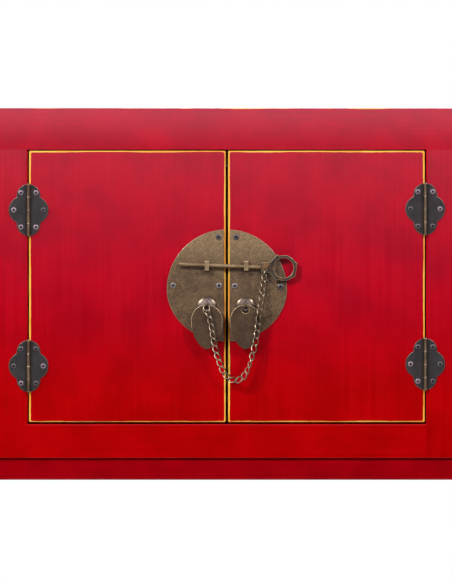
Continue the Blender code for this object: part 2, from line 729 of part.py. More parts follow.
# Chain
def smooth_curve(points, per_span):
    """A Catmull-Rom curve through the points."""
    ends = [2 * points[0] - points[1]] + list(points) + [2 * points[-1] - points[-2]]
    curve = []
    for i in range(1, len(ends) - 2):
        before, start, end, after = ends[i - 1 : i + 3]
        for step in range(per_span):
            t = step / per_span
            curve.append(
                0.5
                * (
                    2 * start
                    + (end - before) * t
                    + (2 * before - 5 * start + 4 * end - after) * t**2
                    + (3 * start - 3 * end + after - before) * t**3
                )
            )
    curve.append(points[-1])
    return curve


def evenly_spaced(curve, pitch):
    """Points at equal steps along the curve, both ends among them, as close to the pitch as fits."""
    travelled = [0.0]
    for i in range(1, len(curve)):
        travelled.append(travelled[-1] + (curve[i] - curve[i - 1]).length)
    count = max(2, round(travelled[-1] / pitch))
    spaced = []
    k = 1
    for i in range(count + 1):
        goal = travelled[-1] * i / count
        while k < len(curve) - 1 and travelled[k] < goal:
            k += 1
        part = (goal - travelled[k - 1]) / (travelled[k] - travelled[k - 1])
        spaced.append(curve[k - 1].lerp(curve[k], part))
    return spaced


def link_points(start, end):
    """The centre line of one twisted oval link, whose wire presses on its neighbours at both joints."""
    along = (end - start).normalized()
    outward = Vector((0.0, -1.0, 0.0))
    outward = (outward - along * outward.dot(along)).normalized()
    across = along.cross(outward)
    half_length = (end - start).length / 2 + (LINK_WIRE - LINK_PRESS) / 2
    half_width = (LINK_WIDTH - LINK_WIRE) / 2
    points = []
    for i in range(LINK_POINTS):
        angle = math.tau * i / LINK_POINTS
        twist = LINK_TWIST * math.cos(angle)
        side = across * math.cos(twist) + outward * math.sin(twist)
        from_middle = along * half_length * math.cos(angle) + side * half_width * math.sin(angle)
        points.append((start + end) / 2 + from_middle)
    return points


def ring_points(centre, first, second, radius):
    points = []
    for i in range(LINK_POINTS):
        angle = math.tau * i / LINK_POINTS
        points.append(centre + (first * math.cos(angle) + second * math.sin(angle)) * radius)
    return points


def wire_loops_shape(loops):
    """Closed wire loops, each a tube along its points."""
    data = bpy.data.curves.new("wire", "CURVE")
    data.dimensions = "3D"
    data.bevel_depth = LINK_WIRE / 2
    data.bevel_resolution = 1
    for loop in loops:
        spline = data.splines.new("POLY")
        spline.points.add(len(loop) - 1)
        for point, place in zip(spline.points, loop):
            point.co = (*place, 1.0)
        spline.use_cyclic_u = True
    guide = bpy.data.objects.new("wire", data)
    bpy.context.scene.collection.objects.link(guide)
    bpy.context.view_layer.update()
    mesh = bpy.data.meshes.new_from_object(guide.evaluated_get(bpy.context.evaluated_depsgraph_get()))
    shape = bmesh.new()
    shape.from_mesh(mesh)
    bmesh.ops.remove_doubles(shape, verts=shape.verts, dist=1e-7)
    bmesh.ops.triangulate(shape, faces=shape.faces)
    bpy.data.objects.remove(guide)
    return shape


def add_chain():
    """Links from the left eye, down past the tabs and up to the bolt's collar, each pressed on the next."""
    press = (LINK_WIRE - LINK_PRESS) / 2
    sideways = Vector((1.0, 0.0, 0.0))
    hanging = Vector((0.0, -math.sin(EYE_LINK_LEAN), -math.cos(EYE_LINK_LEAN)))
    before_tab = TAB_THICKNESS / 2 + GAP + LINK_WIRE / 2
    below_eye = math.sqrt((EYE_INSIDE - GAP - LINK_WIRE / 2) ** 2 - before_tab**2)
    eye_top = Vector((PULL_PLACES["left"], in_front(EYE_OUT + before_tab), EYE_HEIGHT - below_eye))
    eye_centre = eye_top + hanging * EYE_LINK_RADIUS
    leaving = sideways * math.sin(EYE_LINK_EXIT) + hanging * math.cos(EYE_LINK_EXIT)
    first = eye_centre + leaving * (EYE_LINK_RADIUS - press)

    upward = Vector((0.0, 0.0, 1.0))
    outward = Vector((0.0, -1.0, 0.0))
    hole = tilt_matrix() @ chain_hole_place()
    collar_centre = hole - upward * COLLAR_LINK_RADIUS
    last = collar_centre - upward * (COLLAR_LINK_RADIUS - press)

    route = [first]
    for right, below, stand in CHAIN_ROUTE:
        out = BOLT_OUT + (CHAIN_OUT - BOLT_OUT) * stand
        route.append(Vector((right, in_front(out), LOCK_HEIGHT - below)))
    route.append(last)
    joints = evenly_spaced(smooth_curve(route, ROUTE_STEPS), LINK_PITCH)
    loops = [ring_points(eye_centre, sideways, hanging, EYE_LINK_RADIUS)]
    for i in range(1, len(joints)):
        loops.append(link_points(joints[i - 1], joints[i]))
    loops.append(ring_points(collar_centre, outward, upward, COLLAR_LINK_RADIUS))
    chain = add_object("chain", wire_loops_shape(loops[0::2]))
    combine(chain, wire_loops_shape(loops[1::2]), "UNION")
    return finish_piece(chain, "yellow_brass")


# Assembly
def build():
    for old in list(bpy.data.objects):
        bpy.data.objects.remove(old, do_unlink=True)
    add_top()
    add_case()
    for side, sign in SIDES.items():
        swinging = [add_door(side), add_lock_plate(side), add_keeper(side)]
        swinging += [add_pull_boss(side), add_pull_eye(side)]
        for place, drop in zip(("upper", "lower"), HINGE_DROPS[side]):
            swinging.append(add_hinge(side, place, HEIGHT - drop))
        if side == "left":
            swinging.append(add_chain())
        add_pivot(side + "_door_axis", (sign * HINGE_X, in_front(HINGE_OUT), LOCK_HEIGHT), swinging)
        eye_place = (PULL_PLACES[side], in_front(EYE_OUT), EYE_HEIGHT)
        add_pivot(side + "_pull_axis", eye_place, [add_pull_tab(side)])
    add_pivot("bolt_axis", (0.0, in_front(BOLT_OUT), BOLT_HEIGHT), [add_bolt()])


build()
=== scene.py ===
"""Scene for a red lacquered console table: its finishes, hardware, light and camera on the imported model."""

import json
import math
import random

import bmesh
import bpy
from mathutils import Matrix, Vector

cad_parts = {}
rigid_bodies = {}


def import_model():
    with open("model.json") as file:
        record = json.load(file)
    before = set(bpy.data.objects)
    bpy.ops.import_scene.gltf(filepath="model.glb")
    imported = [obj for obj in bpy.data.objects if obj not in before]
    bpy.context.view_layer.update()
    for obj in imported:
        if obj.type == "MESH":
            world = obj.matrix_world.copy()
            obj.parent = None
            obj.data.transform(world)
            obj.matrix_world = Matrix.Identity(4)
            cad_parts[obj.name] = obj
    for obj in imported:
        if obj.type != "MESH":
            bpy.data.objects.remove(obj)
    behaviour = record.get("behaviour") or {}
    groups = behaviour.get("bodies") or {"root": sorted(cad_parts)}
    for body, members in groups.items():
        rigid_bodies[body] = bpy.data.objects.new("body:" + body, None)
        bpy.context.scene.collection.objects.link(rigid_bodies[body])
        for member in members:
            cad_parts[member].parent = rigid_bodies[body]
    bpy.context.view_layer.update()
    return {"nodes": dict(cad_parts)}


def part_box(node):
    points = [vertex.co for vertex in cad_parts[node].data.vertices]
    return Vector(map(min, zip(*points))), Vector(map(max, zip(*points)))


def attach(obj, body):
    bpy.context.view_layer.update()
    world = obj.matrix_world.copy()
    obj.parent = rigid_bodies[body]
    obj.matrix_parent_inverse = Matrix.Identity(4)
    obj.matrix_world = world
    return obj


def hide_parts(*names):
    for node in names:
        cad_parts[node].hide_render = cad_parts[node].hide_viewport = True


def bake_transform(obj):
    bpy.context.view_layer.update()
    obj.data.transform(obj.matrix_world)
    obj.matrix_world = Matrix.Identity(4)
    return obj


for old in list(bpy.data.objects):
    bpy.data.objects.remove(old, do_unlink=True)
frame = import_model()
rng = random.Random(7)

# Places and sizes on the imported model, in metres
FACE_Y = -0.1285
GAP = 0.0003
LOCK_HEIGHT = 0.6485
SIDES = {"left": -1, "right": 1}
LEAF_FRONT = 0.0013
PLATE_FRONT = 0.0015
RIM_ROUND = 0.0004

# Distances that count as none
TOUCH = 1e-5
SNAP = 1e-6
MERGE = 3e-5
FINE_MERGE = 1e-7

# Boards. The box of a door's rubbed arrises is larger than the door, so that some are rubbed less
FACE_NODES = ("left_stile", "right_stile", "bottom_rail")
REMADE_NODES = (*FACE_NODES, "top_front_rail")
GRAIN_AXES = {"top_panel": 0, "back_panel": 2, "floor_panel": 0}
OPENING_ROUND = 0.0012
ARRIS_ROUND = 0.0003
TOP_ROUND = 0.0012
CROWN = 0.00018
CROWN_STEPS = 8
CUT_PAST = 0.01
DOOR_RUB = 0.0016
DOOR_RUB_LESS = {
    "left_door": ((0.0, 0.0, 0.0006), (0.0003, 0.0, 0.0003)),
    "right_door": ((0.0, 0.0, 0.0006), (0.0, 0.0, 0.0003)),
}
TOP_RUB = 0.0008
TOP_RUB_LEAST = 0.1
FAR = 9.0

# Hinges
HINGE_PLACES = ("upper", "lower")
KNUCKLE_RADIUS = 0.0016
KNUCKLE_ROUND = 0.0005
KNUCKLE_SLACK = 0.0001
# Painted shade on the hinge leaves beside the pin, in steps outwards, where the knuckles' shadow falls
PIN_SHADE_REACHES = (0.0026, 0.0033, 0.0041, 0.0050)
PIN_SHADE = 0.75

# Screws, by their distance out from a hinge's pin, or right of the lock's centre, and upwards
HINGE_SCREW_RADIUS = 0.0027
PLATE_SCREW_RADIUS = 0.0030
DULL_SHARE = 0.6
HINGE_SCREWS = ((0.0075, 0.0172), (0.0148, 0.0), (0.0075, -0.0172))
PLATE_SCREWS = {
    "left": ((-0.0084, 0.0525), (-0.0537, 0.0040), (-0.0080, 0.0040)),
    "right": ((0.0094, 0.0525), (0.0078, 0.0035), (0.0536, 0.0029)),
}

# A screw's head, as shares of its radius
SCREW_RISE = 0.42
SCREW_DOME = 0.12
SCREW_SHOULDER = 0.6
SCREW_STEPS = 10
SCREW_SIDES = 40
DISH_SIDES = 24
DISH_LOW_RADIUS = 0.34
DISH_HIGH_RADIUS = 0.52
DISH_DEPTH = 0.3
DISH_ABOVE = 0.04
CROSS_ARM = (1.44, 0.44, 0.6)
CROSS_HEIGHT = 0.44
CROSS_TAPER = (0.5, 0.8, 1.0)
RECESS_REACH = 0.8
RECESS_DEPTH = 0.04
RECESS_FLOOR = 0.01

# Lock plates and keepers
PLATE_SEAM = 0.0032
PLATE_RIM_FROM = 0.045
KEEPER_ROUND = 0.0005

# Bolt
BOLT_OUT = 0.0045
BOLT_HEIGHT = 0.6721
BOLT_TILT = math.radians(2.2)
SHAFT_RIGHT = 0.0346
SHAFT_SWELL = 1.14
SHAFT_SHOULDER = 0.001
HEAD_THICKNESS = 0.0028
HEAD_ROUND = 0.0006
HEAD_ROUND_STEPS = 3
HEAD_FRAME = 0.0004
HEAD_SINK = 0.0004
HEAD_DARKENING = 0.35
COLLAR_RISE = 0.0053
CHAIN_HOLE_OUT = 0.0034
CHAIN_HOLE_RADIUS = 0.0013
CHAIN_HOLE_LIP = 0.0013

# Drop pulls
PULL_PLACES = {"left": -0.0201, "right": 0.0185}
STEM_HEIGHT = 0.6308
STEM_BORE = 0.0013
BOSS_RADIUS = 0.0102
BOSS_HEIGHT = 0.0026
BOSS_SIDES = 64
EYE_OUT = 0.00875
EYE_HEIGHT = 0.63445
EYE_INSIDE = 0.00275
EYE_PRESS = 0.8
TAB_THICKNESS = 0.0012
TAB_HIGHLIGHT_DEPTH = 0.021

# Chain links
LINK_PITCH = 0.0072
LINK_WIDTH = 0.0066
LINK_WIRE = 0.0012
LINK_SWELL = 1.1
LINK_SHEAR = 0.45
LINK_TWIST = math.radians(45.0)
LINK_PRESS = 0.0003
LINK_POINTS = 40
LINK_ROUNDNESS = 3
# Painted light and shade on the chain links: light on the side that faces out, left and up, towards the
# stronger left softbox, and painted shade on the other sides.
LINK_SHADE = 0.95
LINK_LIT_FALLOFF = 3.0
LINK_LIT_SIDE = Vector((-0.55, -0.75, 0.35)).normalized()
WIRE_TO_JOINT = (LINK_WIRE - LINK_PRESS) / 2
ROLL = math.radians(-15.0)
ROLL_PEAK = math.radians(85.0)
ROLL_LINK = 14.8
ROLL_SPREAD = 1.8
EYE_LINK_RADIUS = 0.0032
EYE_LINK_GAP = 0.0001
EYE_LINK_LEAN = math.radians(15.0)
EYE_LINK_EXIT = math.radians(30.0)
COLLAR_LINK_RADIUS = 0.00245

# Steps for counting along the chain, a larger one after a link that hangs under the one before
FALLING = 0.93
FALLING_STEP = 1.55

# Chain route: right of the lock's centre, below it, and a share of the way out from the bolt
CHAIN_OUT = 0.0114
ROUTE_STEPS = 24
CHAIN_ROUTE = (
    (-0.0153, 0.0345, 1.0),
    (-0.0134, 0.0475, 1.0),
    (-0.0109, 0.0605, 1.0),
    (-0.0064, 0.0750, 1.0),
    (-0.0012, 0.0855, 1.0),
    (0.0076, 0.0911, 1.0),
    (0.0159, 0.0879, 1.0),
    (0.0212, 0.0790, 1.0),
    (0.0263, 0.0620, 1.0),
    (0.0297, 0.0465, 1.0),
    (0.0317, 0.0295, 1.0),
    (0.0334, 0.0180, 0.92),
    (0.0351, 0.0065, 0.55),
    (0.0364, -0.0050, 0.15),
)

# Floor, and the room that surfaces mirror: strengths, and spans of the direction towards it
FLOOR_SIDES = 96
FLOOR_RADIUS = 1.6
FADE_RADIUS = 0.8
FILL = 0.02
WALL = 2.5
CEILING = 0.15
ROOM_TINT = (0.95, 0.92, 1.25, 1.0)
BACKDROP_SPAN = (0.0, 0.35)
WALL_SPAN = (0.02, 0.17)
CEILING_SPAN = (0.35, 0.6)
ASIDE_SPAN = (0.25, 0.5)

# Lights
LIGHT_AIM = (0.0, FACE_Y, 0.84)
FRONT_LIGHT_PLACE = (2.2, -2.5, 2.75)
FRONT_LIGHT_SIZE = 0.5
FRONT_LIGHT_SPREAD = math.radians(75.0)
FRONT_LIGHT_POWERS = {"left": 20.0, "right": 13.0}
BACK_LIGHT_PLACE = (0.4, 2.0, 2.0)
BACK_LIGHT_SIZE = 1.2
BACK_LIGHT_SPREAD = math.radians(180.0)
BACK_LIGHT_POWER = 25.0

# Camera
VIEW_HEIGHT = 0.584
VIEW_CENTRE = (-0.0009, 0.646)
CAMERA_DISTANCE = 2.0
SENSOR = 36.0


def in_front(distance):
    """The Y of a plane this far in front of the doors."""
    return FACE_Y - distance


def colour(red, green, blue):
    """A shader colour from three screen values of 0 to 255."""
    linear = []
    for value in (red, green, blue):
        share = value / 255
        linear.append(share / 12.92 if share <= 0.04045 else ((share + 0.055) / 1.055) ** 2.4)
    return (*linear, 1.0)


# Shader building blocks
def put(tree, kind, **settings):
    """A new node with these settings."""
    node = tree.nodes.new(kind)
    for name, value in settings.items():
        setattr(node, name, value)
    return node


def join(tree, value, socket):
    """Links a value that varies to a socket, or sets one that doesn't."""
    if isinstance(value, bpy.types.NodeSocket):
        tree.links.new(value, socket)
    else:
        socket.default_value = value


def maths(tree, operation, *values, kind="ShaderNodeMath"):
    """What one operation makes of the values."""
    node = put(tree, kind, operation=operation)
    for socket, value in zip(node.inputs, values):
        join(tree, value, socket)
    return node.outputs[0]


def vector_maths(tree, operation, *values):
    """What one operation makes of vectors."""
    return maths(tree, operation, *values, kind="ShaderNodeVectorMath")


def remap(tree, value, low, high, to_low=0.0, to_high=1.0):
    """A value brought smoothly from one range to another."""
    node = put(tree, "ShaderNodeMapRange", interpolation_type="SMOOTHSTEP")
    ranges = {"Value": value, "From Min": low, "From Max": high, "To Min": to_low, "To Max": to_high}
    for name, given in ranges.items():
        join(tree, given, node.inputs[name])
    return node.outputs[0]


def noise(tree, place, scale, detail=2.0, roughness=0.5):
    """Noise around 0.5, finer for a larger scale."""
    node = put(tree, "ShaderNodeTexNoise")
    join(tree, place, node.inputs["Vector"])
    node.inputs["Scale"].default_value = scale
    node.inputs["Detail"].default_value = detail
    node.inputs["Roughness"].default_value = roughness
    return node.outputs["Fac"]


def blend(tree, share, first, second, how="MIX"):
    """A share of the second colour over the first."""
    node = put(tree, "ShaderNodeMix", data_type="RGBA", blend_type=how)
    join(tree, share, node.inputs[0])
    join(tree, first, node.inputs[6])
    join(tree, second, node.inputs[7])
    return node.outputs[2]


def grey(tree, value):
    """A colour with the same value in all three channels."""
    node = put(tree, "ShaderNodeCombineColor")
    for socket in node.inputs:
        join(tree, value, socket)
    return node.outputs[0]


def split(tree, place):
    """The X, Y and Z of a place."""
    node = put(tree, "ShaderNodeSeparateXYZ")
    join(tree, place, node.inputs[0])
    return node.outputs


def marked(tree, name):
    """How strongly a piece's faces are marked under a name."""
    return put(tree, "ShaderNodeAttribute", attribute_name=name).outputs["Fac"]


def shifted(tree, place):
    """A place moved at random, so that no two boards have the same pattern."""
    return vector_maths(tree, "ADD", place, [rng.uniform(-FAR, FAR) for _ in range(3)])


def new_group(name, inputs, outputs):
    """An empty node group with its sockets, and the nodes for what it is given and what it makes."""
    group = bpy.data.node_groups.new(name, "ShaderNodeTree")
    for socket_name, kind in inputs:
        group.interface.new_socket(socket_name, in_out="INPUT", socket_type=kind)
    for socket_name, kind in outputs:
        group.interface.new_socket(socket_name, in_out="OUTPUT", socket_type=kind)
    return group, put(group, "NodeGroupInput"), put(group, "NodeGroupOutput")


def use_group(tree, group, **values):
    """What a group puts out for these values."""
    node = put(tree, "ShaderNodeGroup", node_tree=group)
    for name, value in values.items():
        join(tree, value, node.inputs[name])
    return node.outputs


def new_material(name):
    """A material with its Principled shader, and where on the object each point is."""
    material = bpy.data.materials.new(name)
    material.use_nodes = True
    tree = material.node_tree
    shader = tree.nodes["Principled BSDF"]
    place = put(tree, "ShaderNodeTexCoord").outputs["Object"]
    return material, tree, shader, place


def add_bump(tree, shader, height, strength, distance):
    """Makes the surface look raised by a height."""
    node = put(tree, "ShaderNodeBump")
    node.inputs["Strength"].default_value = strength
    node.inputs["Distance"].default_value = distance
    join(tree, height, node.inputs["Height"])
    join(tree, node.outputs[0], shader.inputs["Normal"])


# Shared effects
CORNER_RUB = 0.003
RUB_MOST = 1.25
RUB_RAGGED = 0.06
RUB_SOFT = 0.16


def make_brushed_film():
    """Long brush streaks, broad mottling and fine grain of a hand-laid lacquer."""
    group, given, made = new_group(
        "brushed_film",
        [("Place", "NodeSocketVector"), ("Stretch", "NodeSocketVector")],
        [("Streak", "NodeSocketFloat"), ("Mottle", "NodeSocketFloat"), ("Grain", "NodeSocketFloat")],
    )
    place = given.outputs["Place"]
    stretched = vector_maths(group, "MULTIPLY", place, given.outputs["Stretch"])
    join(group, noise(group, stretched, scale=1.0, detail=4.0, roughness=0.6), made.inputs["Streak"])
    join(group, noise(group, place, scale=24.0, detail=4.0, roughness=0.55), made.inputs["Mottle"])
    join(group, noise(group, place, scale=700.0), made.inputs["Grain"])
    return group


def make_edge_rub():
    """Where a board's arrises are rubbed through, wider at its corners and ragged along its edges."""
    group, given, made = new_group(
        "edge_rub",
        [
            ("Place", "NodeSocketVector"),
            ("Low", "NodeSocketVector"),
            ("High", "NodeSocketVector"),
            ("Width", "NodeSocketFloat"),
            ("Least", "NodeSocketFloat"),
        ],
        [("Rub", "NodeSocketFloat")],
    )
    place = given.outputs["Place"]
    from_low = vector_maths(group, "SUBTRACT", place, given.outputs["Low"])
    from_high = vector_maths(group, "SUBTRACT", given.outputs["High"], place)
    across, deep, up = split(group, vector_maths(group, "MINIMUM", from_low, from_high))
    lesser = maths(group, "MINIMUM", across, deep)
    greater = maths(group, "MAXIMUM", across, deep)
    second = maths(group, "MAXIMUM", lesser, maths(group, "MINIMUM", greater, up))
    third = maths(group, "MAXIMUM", greater, up)
    near = maths(group, "SMOOTH_MIN", second, third, CORNER_RUB)
    broad_noise = noise(group, place, scale=17.0, detail=3.0)
    broad = remap(group, broad_noise, 0.36, 0.64, given.outputs["Least"], RUB_MOST)
    ragged_noise = noise(group, place, scale=260.0, detail=3.0)
    ragged = remap(group, ragged_noise, 0.3, 0.7, -RUB_RAGGED, RUB_RAGGED)
    width = maths(group, "MULTIPLY", given.outputs["Width"], maths(group, "ADD", broad, ragged))
    soft = maths(group, "MULTIPLY", given.outputs["Width"], RUB_SOFT)
    inner = maths(group, "SUBTRACT", width, soft)
    outer = maths(group, "ADD", width, soft)
    join(group, remap(group, near, inner, outer, 1.0, 0.0), made.inputs["Rub"])
    return group


def make_patina():
    """Fine speckle, broad blotches and a pitted height for old metal."""
    group, given, made = new_group(
        "patina",
        [("Place", "NodeSocketVector")],
        [("Speckle", "NodeSocketFloat"), ("Blotch", "NodeSocketFloat"), ("Height", "NodeSocketFloat")],
    )
    place = given.outputs["Place"]
    speckle = remap(group, noise(group, place, scale=850.0, detail=6.0, roughness=0.85), 0.36, 0.64)
    blotch = remap(group, noise(group, place, scale=70.0, detail=4.0, roughness=0.6), 0.35, 0.65)
    pits = noise(group, place, scale=420.0)
    join(group, speckle, made.inputs["Speckle"])
    join(group, blotch, made.inputs["Blotch"])
    join(group, maths(group, "ADD", maths(group, "MULTIPLY", speckle, 0.5), pits), made.inputs["Height"])
    return group


def make_wood_grain():
    """Straight, slightly wavering grain along a board."""
    group, given, made = new_group(
        "wood_grain",
        [("Place", "NodeSocketVector"), ("Stretch", "NodeSocketVector")],
        [("Grain", "NodeSocketFloat"), ("Pores", "NodeSocketFloat")],
    )
    stretched = vector_maths(group, "MULTIPLY", given.outputs["Place"], given.outputs["Stretch"])
    waver = noise(group, stretched, scale=0.35, detail=3.0)
    bands = maths(group, "FRACT", maths(group, "MULTIPLY", waver, 14.0))
    join(group, maths(group, "PINGPONG", bands, 0.5), made.inputs["Grain"])
    join(group, noise(group, stretched, scale=5.0, roughness=0.7), made.inputs["Pores"])
    return group


BRUSHED_FILM = make_brushed_film()
EDGE_RUB = make_edge_rub()
PATINA = make_patina()
WOOD_GRAIN = make_wood_grain()


# Finishes of the boards
RED = (colour(169, 0, 1), colour(190, 0, 4))
# A deeper red for the aprons: partly their own tone, partly painted shade under the bottom rail's overhang.
DEEP_RED_AND_SHADE = (colour(146, 0, 10), colour(166, 0, 14))
# Blue added to the lacquer higher up: a painted sheen that stands in for the reflection of the lit room.
PAINTED_SHEEN_BLUE = (0.0, 0.0, 0.0105, 1.0)
PAINTED_SHEEN_HEIGHTS = (0.53, 0.68)
UNDERCOAT = colour(255, 200, 80)
UNDERCOAT_WORN = colour(252, 172, 58)
WOOD_DARK = colour(62, 38, 27)
WOOD_LIGHT = colour(98, 62, 43)


def stretch_along(axis, along, across):
    """Scales that draw a pattern out along one axis, 0 to 2 for X to Z."""
    scales = [across, across, across]
    scales[axis] = along
    return scales


def lacquer(name, axis, low, high, rub, least=0.8, tones=RED):
    """Lacquer of two mottled tones, brushed along an axis, with a painted bluish sheen that grows higher up,
    and rubbed through on the arrises of a box. The rub is as wide as given, times a share that wavers down to
    the least one."""
    material, tree, shader, place = new_material("lacquer_" + name)
    stretch = stretch_along(axis, along=7.0, across=420.0)
    film = use_group(tree, BRUSHED_FILM, Place=shifted(tree, place), Stretch=stretch)
    worn = use_group(tree, EDGE_RUB, Place=place, Low=low, High=high, Width=rub, Least=least)["Rub"]
    red = blend(tree, remap(tree, film["Mottle"], 0.3, 0.7), *tones)
    # Painted sheen: blue added to the red between the two heights.
    red = blend(tree, remap(tree, split(tree, place)["Z"], *PAINTED_SHEEN_HEIGHTS), red, PAINTED_SHEEN_BLUE, "ADD")
    streaks = grey(tree, remap(tree, film["Streak"], 0.25, 0.75, 0.92, 1.06))
    streaked = blend(tree, 1.0, red, streaks, "MULTIPLY")
    undercoat = blend(tree, remap(tree, film["Mottle"], 0.4, 0.6), UNDERCOAT_WORN, UNDERCOAT)
    join(tree, blend(tree, worn, streaked, undercoat), shader.inputs["Base Color"])
    gloss = remap(tree, film["Streak"], 0.25, 0.75, 0.13, 0.18)
    join(tree, maths(tree, "ADD", gloss, maths(tree, "MULTIPLY", worn, 0.2)), shader.inputs["Roughness"])
    height = maths(tree, "ADD", film["Streak"], maths(tree, "MULTIPLY", film["Grain"], 0.3))
    add_bump(tree, shader, maths(tree, "SUBTRACT", height, worn), strength=0.12, distance=0.0002)
    return material


def stained_wood(node, axis):
    """Matt dark wood for the boards inside and behind."""
    material, tree, shader, place = new_material("stained_" + node)
    stretch = stretch_along(axis, along=6.0, across=60.0)
    grain = use_group(tree, WOOD_GRAIN, Place=shifted(tree, place), Stretch=stretch)
    tone = blend(tree, maths(tree, "MULTIPLY", grain["Grain"], 2.0), WOOD_DARK, WOOD_LIGHT)
    pores = grey(tree, remap(tree, grain["Pores"], 0.35, 0.65, 0.8, 1.1))
    join(tree, blend(tree, 1.0, tone, pores, "MULTIPLY"), shader.inputs["Base Color"])
    join(tree, remap(tree, grain["Pores"], 0.3, 0.7, 0.75, 0.6), shader.inputs["Roughness"])
    add_bump(tree, shader, grain["Pores"], strength=0.3, distance=0.0004)
    return material


# Finishes of the metal
# Colour of the marked darkening: painted shade beside the hinge pins and on the chain links, and a darker
# middle on the bolt's head.
DARKENING_TONE = colour(26, 19, 15)
RECESS_TONE = colour(8, 6, 6)
PATCH_SPAN = (0.59, 0.69)
METAL_SPECULAR = 0.25
SCREW_METALLIC = 0.45


def old_metal(name, dark, light, rim, metallic, roughness, speckle, patch=None, bright=None, pits=0.25):
    """Old metal: two blotched tones with speckle, pits and a marked darkening, and a rounded rim that is
    lighter, partly from wear and partly as a painted highlight. A third tone may show in patches, and
    another, from one height up to a second one, as a painted reflection on the upper part."""
    material, tree, shader, place = new_material(name)
    patina = use_group(tree, PATINA, Place=place)
    tone = blend(tree, patina["Blotch"], dark, light)
    if patch:
        tone = blend(tree, remap(tree, noise(tree, place, scale=130.0), *PATCH_SPAN), tone, patch)
    # Painted reflection: the metal is lighter higher up, as if mirroring the lit wall.
    if bright:
        sheen_starts, sheen_full, sheen_tone = bright
        sheen_share = remap(tree, split(tree, place)["Z"], sheen_starts, sheen_full)
        tone = blend(tree, sheen_share, tone, sheen_tone)
    # Marked darkening: painted shade on hinge leaves and chain links, and a darker middle on the bolt's head.
    tone = blend(tree, marked(tree, "darkening"), tone, DARKENING_TONE)
    specks = grey(tree, remap(tree, patina["Speckle"], 0.0, 1.0, 1.0 - speckle, 1.0 + speckle))
    speckled = blend(tree, 1.0, tone, specks, "MULTIPLY")
    broken = remap(tree, patina["Speckle"], 0.0, 0.8, 0.55, 1.0)
    # Lighter rim: partly wear and partly a painted highlight.
    worn_highlight = maths(tree, "MULTIPLY", marked(tree, "rim"), broken)
    join(tree, blend(tree, worn_highlight, speckled, rim), shader.inputs["Base Color"])
    dulled = remap(tree, patina["Speckle"], 0.0, 1.0, roughness + 0.08, roughness - 0.04)
    polish = maths(tree, "MULTIPLY", worn_highlight, 0.1)
    join(tree, maths(tree, "SUBTRACT", dulled, polish), shader.inputs["Roughness"])
    shader.inputs["Metallic"].default_value = metallic
    shader.inputs["Specular IOR Level"].default_value = METAL_SPECULAR
    add_bump(tree, shader, patina["Height"], strength=pits, distance=0.0003)
    return material


def screw_steel(name, dark, light):
    """Worn steel, with its cross recess nearly black."""
    material, tree, shader, place = new_material(name)
    patina = use_group(tree, PATINA, Place=place)
    tone = blend(tree, patina["Speckle"], dark, light)
    join(tree, blend(tree, marked(tree, "recess"), tone, RECESS_TONE), shader.inputs["Base Color"])
    join(tree, remap(tree, patina["Blotch"], 0.0, 1.0, 0.36, 0.48), shader.inputs["Roughness"])
    shader.inputs["Metallic"].default_value = SCREW_METALLIC
    add_bump(tree, shader, patina["Height"], strength=0.12, distance=0.0002)
    return material


# The lock plates are painted lighter on their upper part: a painted reflection.
AGED_BRASS = old_metal(
    "aged_brass", dark=colour(90, 70, 49), light=colour(111, 89, 64), rim=colour(164, 140, 110),
    metallic=0.1, roughness=0.36, speckle=0.42,
    bright=(0.664, 0.700, colour(140, 115, 84)),
)
TAB_BRASS = old_metal(
    "tab_brass", dark=colour(68, 51, 35), light=colour(84, 65, 46), rim=colour(220, 186, 140),
    metallic=0.1, roughness=0.36, speckle=0.4,
)
DARK_BRONZE = old_metal(
    "dark_bronze", dark=colour(46, 42, 41), light=colour(58, 54, 53), rim=colour(118, 109, 99),
    metallic=0.2, roughness=0.45, speckle=0.15,
)
WORN_BRASS = old_metal(
    "worn_brass", dark=colour(104, 86, 66), light=colour(134, 112, 88), rim=colour(204, 182, 148),
    metallic=0.6, roughness=0.36, speckle=0.18,
)
KEEPER_BRASS = old_metal(
    "keeper_brass", dark=colour(134, 111, 80), light=colour(164, 139, 104), rim=colour(206, 180, 138),
    metallic=0.4, roughness=0.34, speckle=0.2,
)
CHAIN_BRASS = old_metal(
    "chain_brass", dark=colour(184, 156, 124), light=colour(228, 202, 170), rim=colour(230, 208, 180),
    metallic=0.7, roughness=0.28, speckle=0.2,
)
BOSS_METAL = old_metal(
    "boss_metal", dark=colour(98, 84, 70), light=colour(124, 108, 92), rim=colour(200, 180, 160),
    metallic=1.0, roughness=0.3, speckle=0.12,
    pits=0.06,
)
BOLT_BRASS = old_metal(
    "bolt_brass", dark=colour(138, 113, 80), light=colour(170, 144, 108), rim=colour(190, 166, 130),
    metallic=0.6, roughness=0.26, speckle=0.25,
)
GREY_IRON = old_metal(
    "grey_iron", dark=colour(60, 51, 42), light=colour(88, 76, 62), rim=colour(152, 133, 108),
    metallic=0.3, roughness=0.44, speckle=0.25,
    patch=colour(134, 96, 58),
)
BRIGHT_STEEL = screw_steel("bright_steel", dark=colour(132, 116, 122), light=colour(176, 158, 164))
GREY_STEEL = screw_steel("grey_steel", dark=colour(122, 113, 110), light=colour(158, 147, 143))
DARK_STEEL = screw_steel("dark_steel", dark=colour(84, 77, 78), light=colour(114, 105, 106))


# Piece building
SMOOTH_ANGLE = math.radians(38.0)
FLAT_ANGLE = math.radians(8.0)
FLAT_RATIO = 4.0
ARRIS_ANGLE = math.radians(40.0)
WHOLE_ANGLE = math.radians(0.5)


def shade(shape):
    """Smooth shading, apart from steep edges and edges where a small rounding meets a broad flat face."""
    for face in shape.faces:
        face.smooth = True
    for edge in shape.edges:
        if edge.is_manifold:
            lesser, greater = sorted(face.calc_area() for face in edge.link_faces)
            limit = FLAT_ANGLE if greater > FLAT_RATIO * lesser else SMOOTH_ANGLE
            edge.smooth = edge.calc_face_angle() < limit


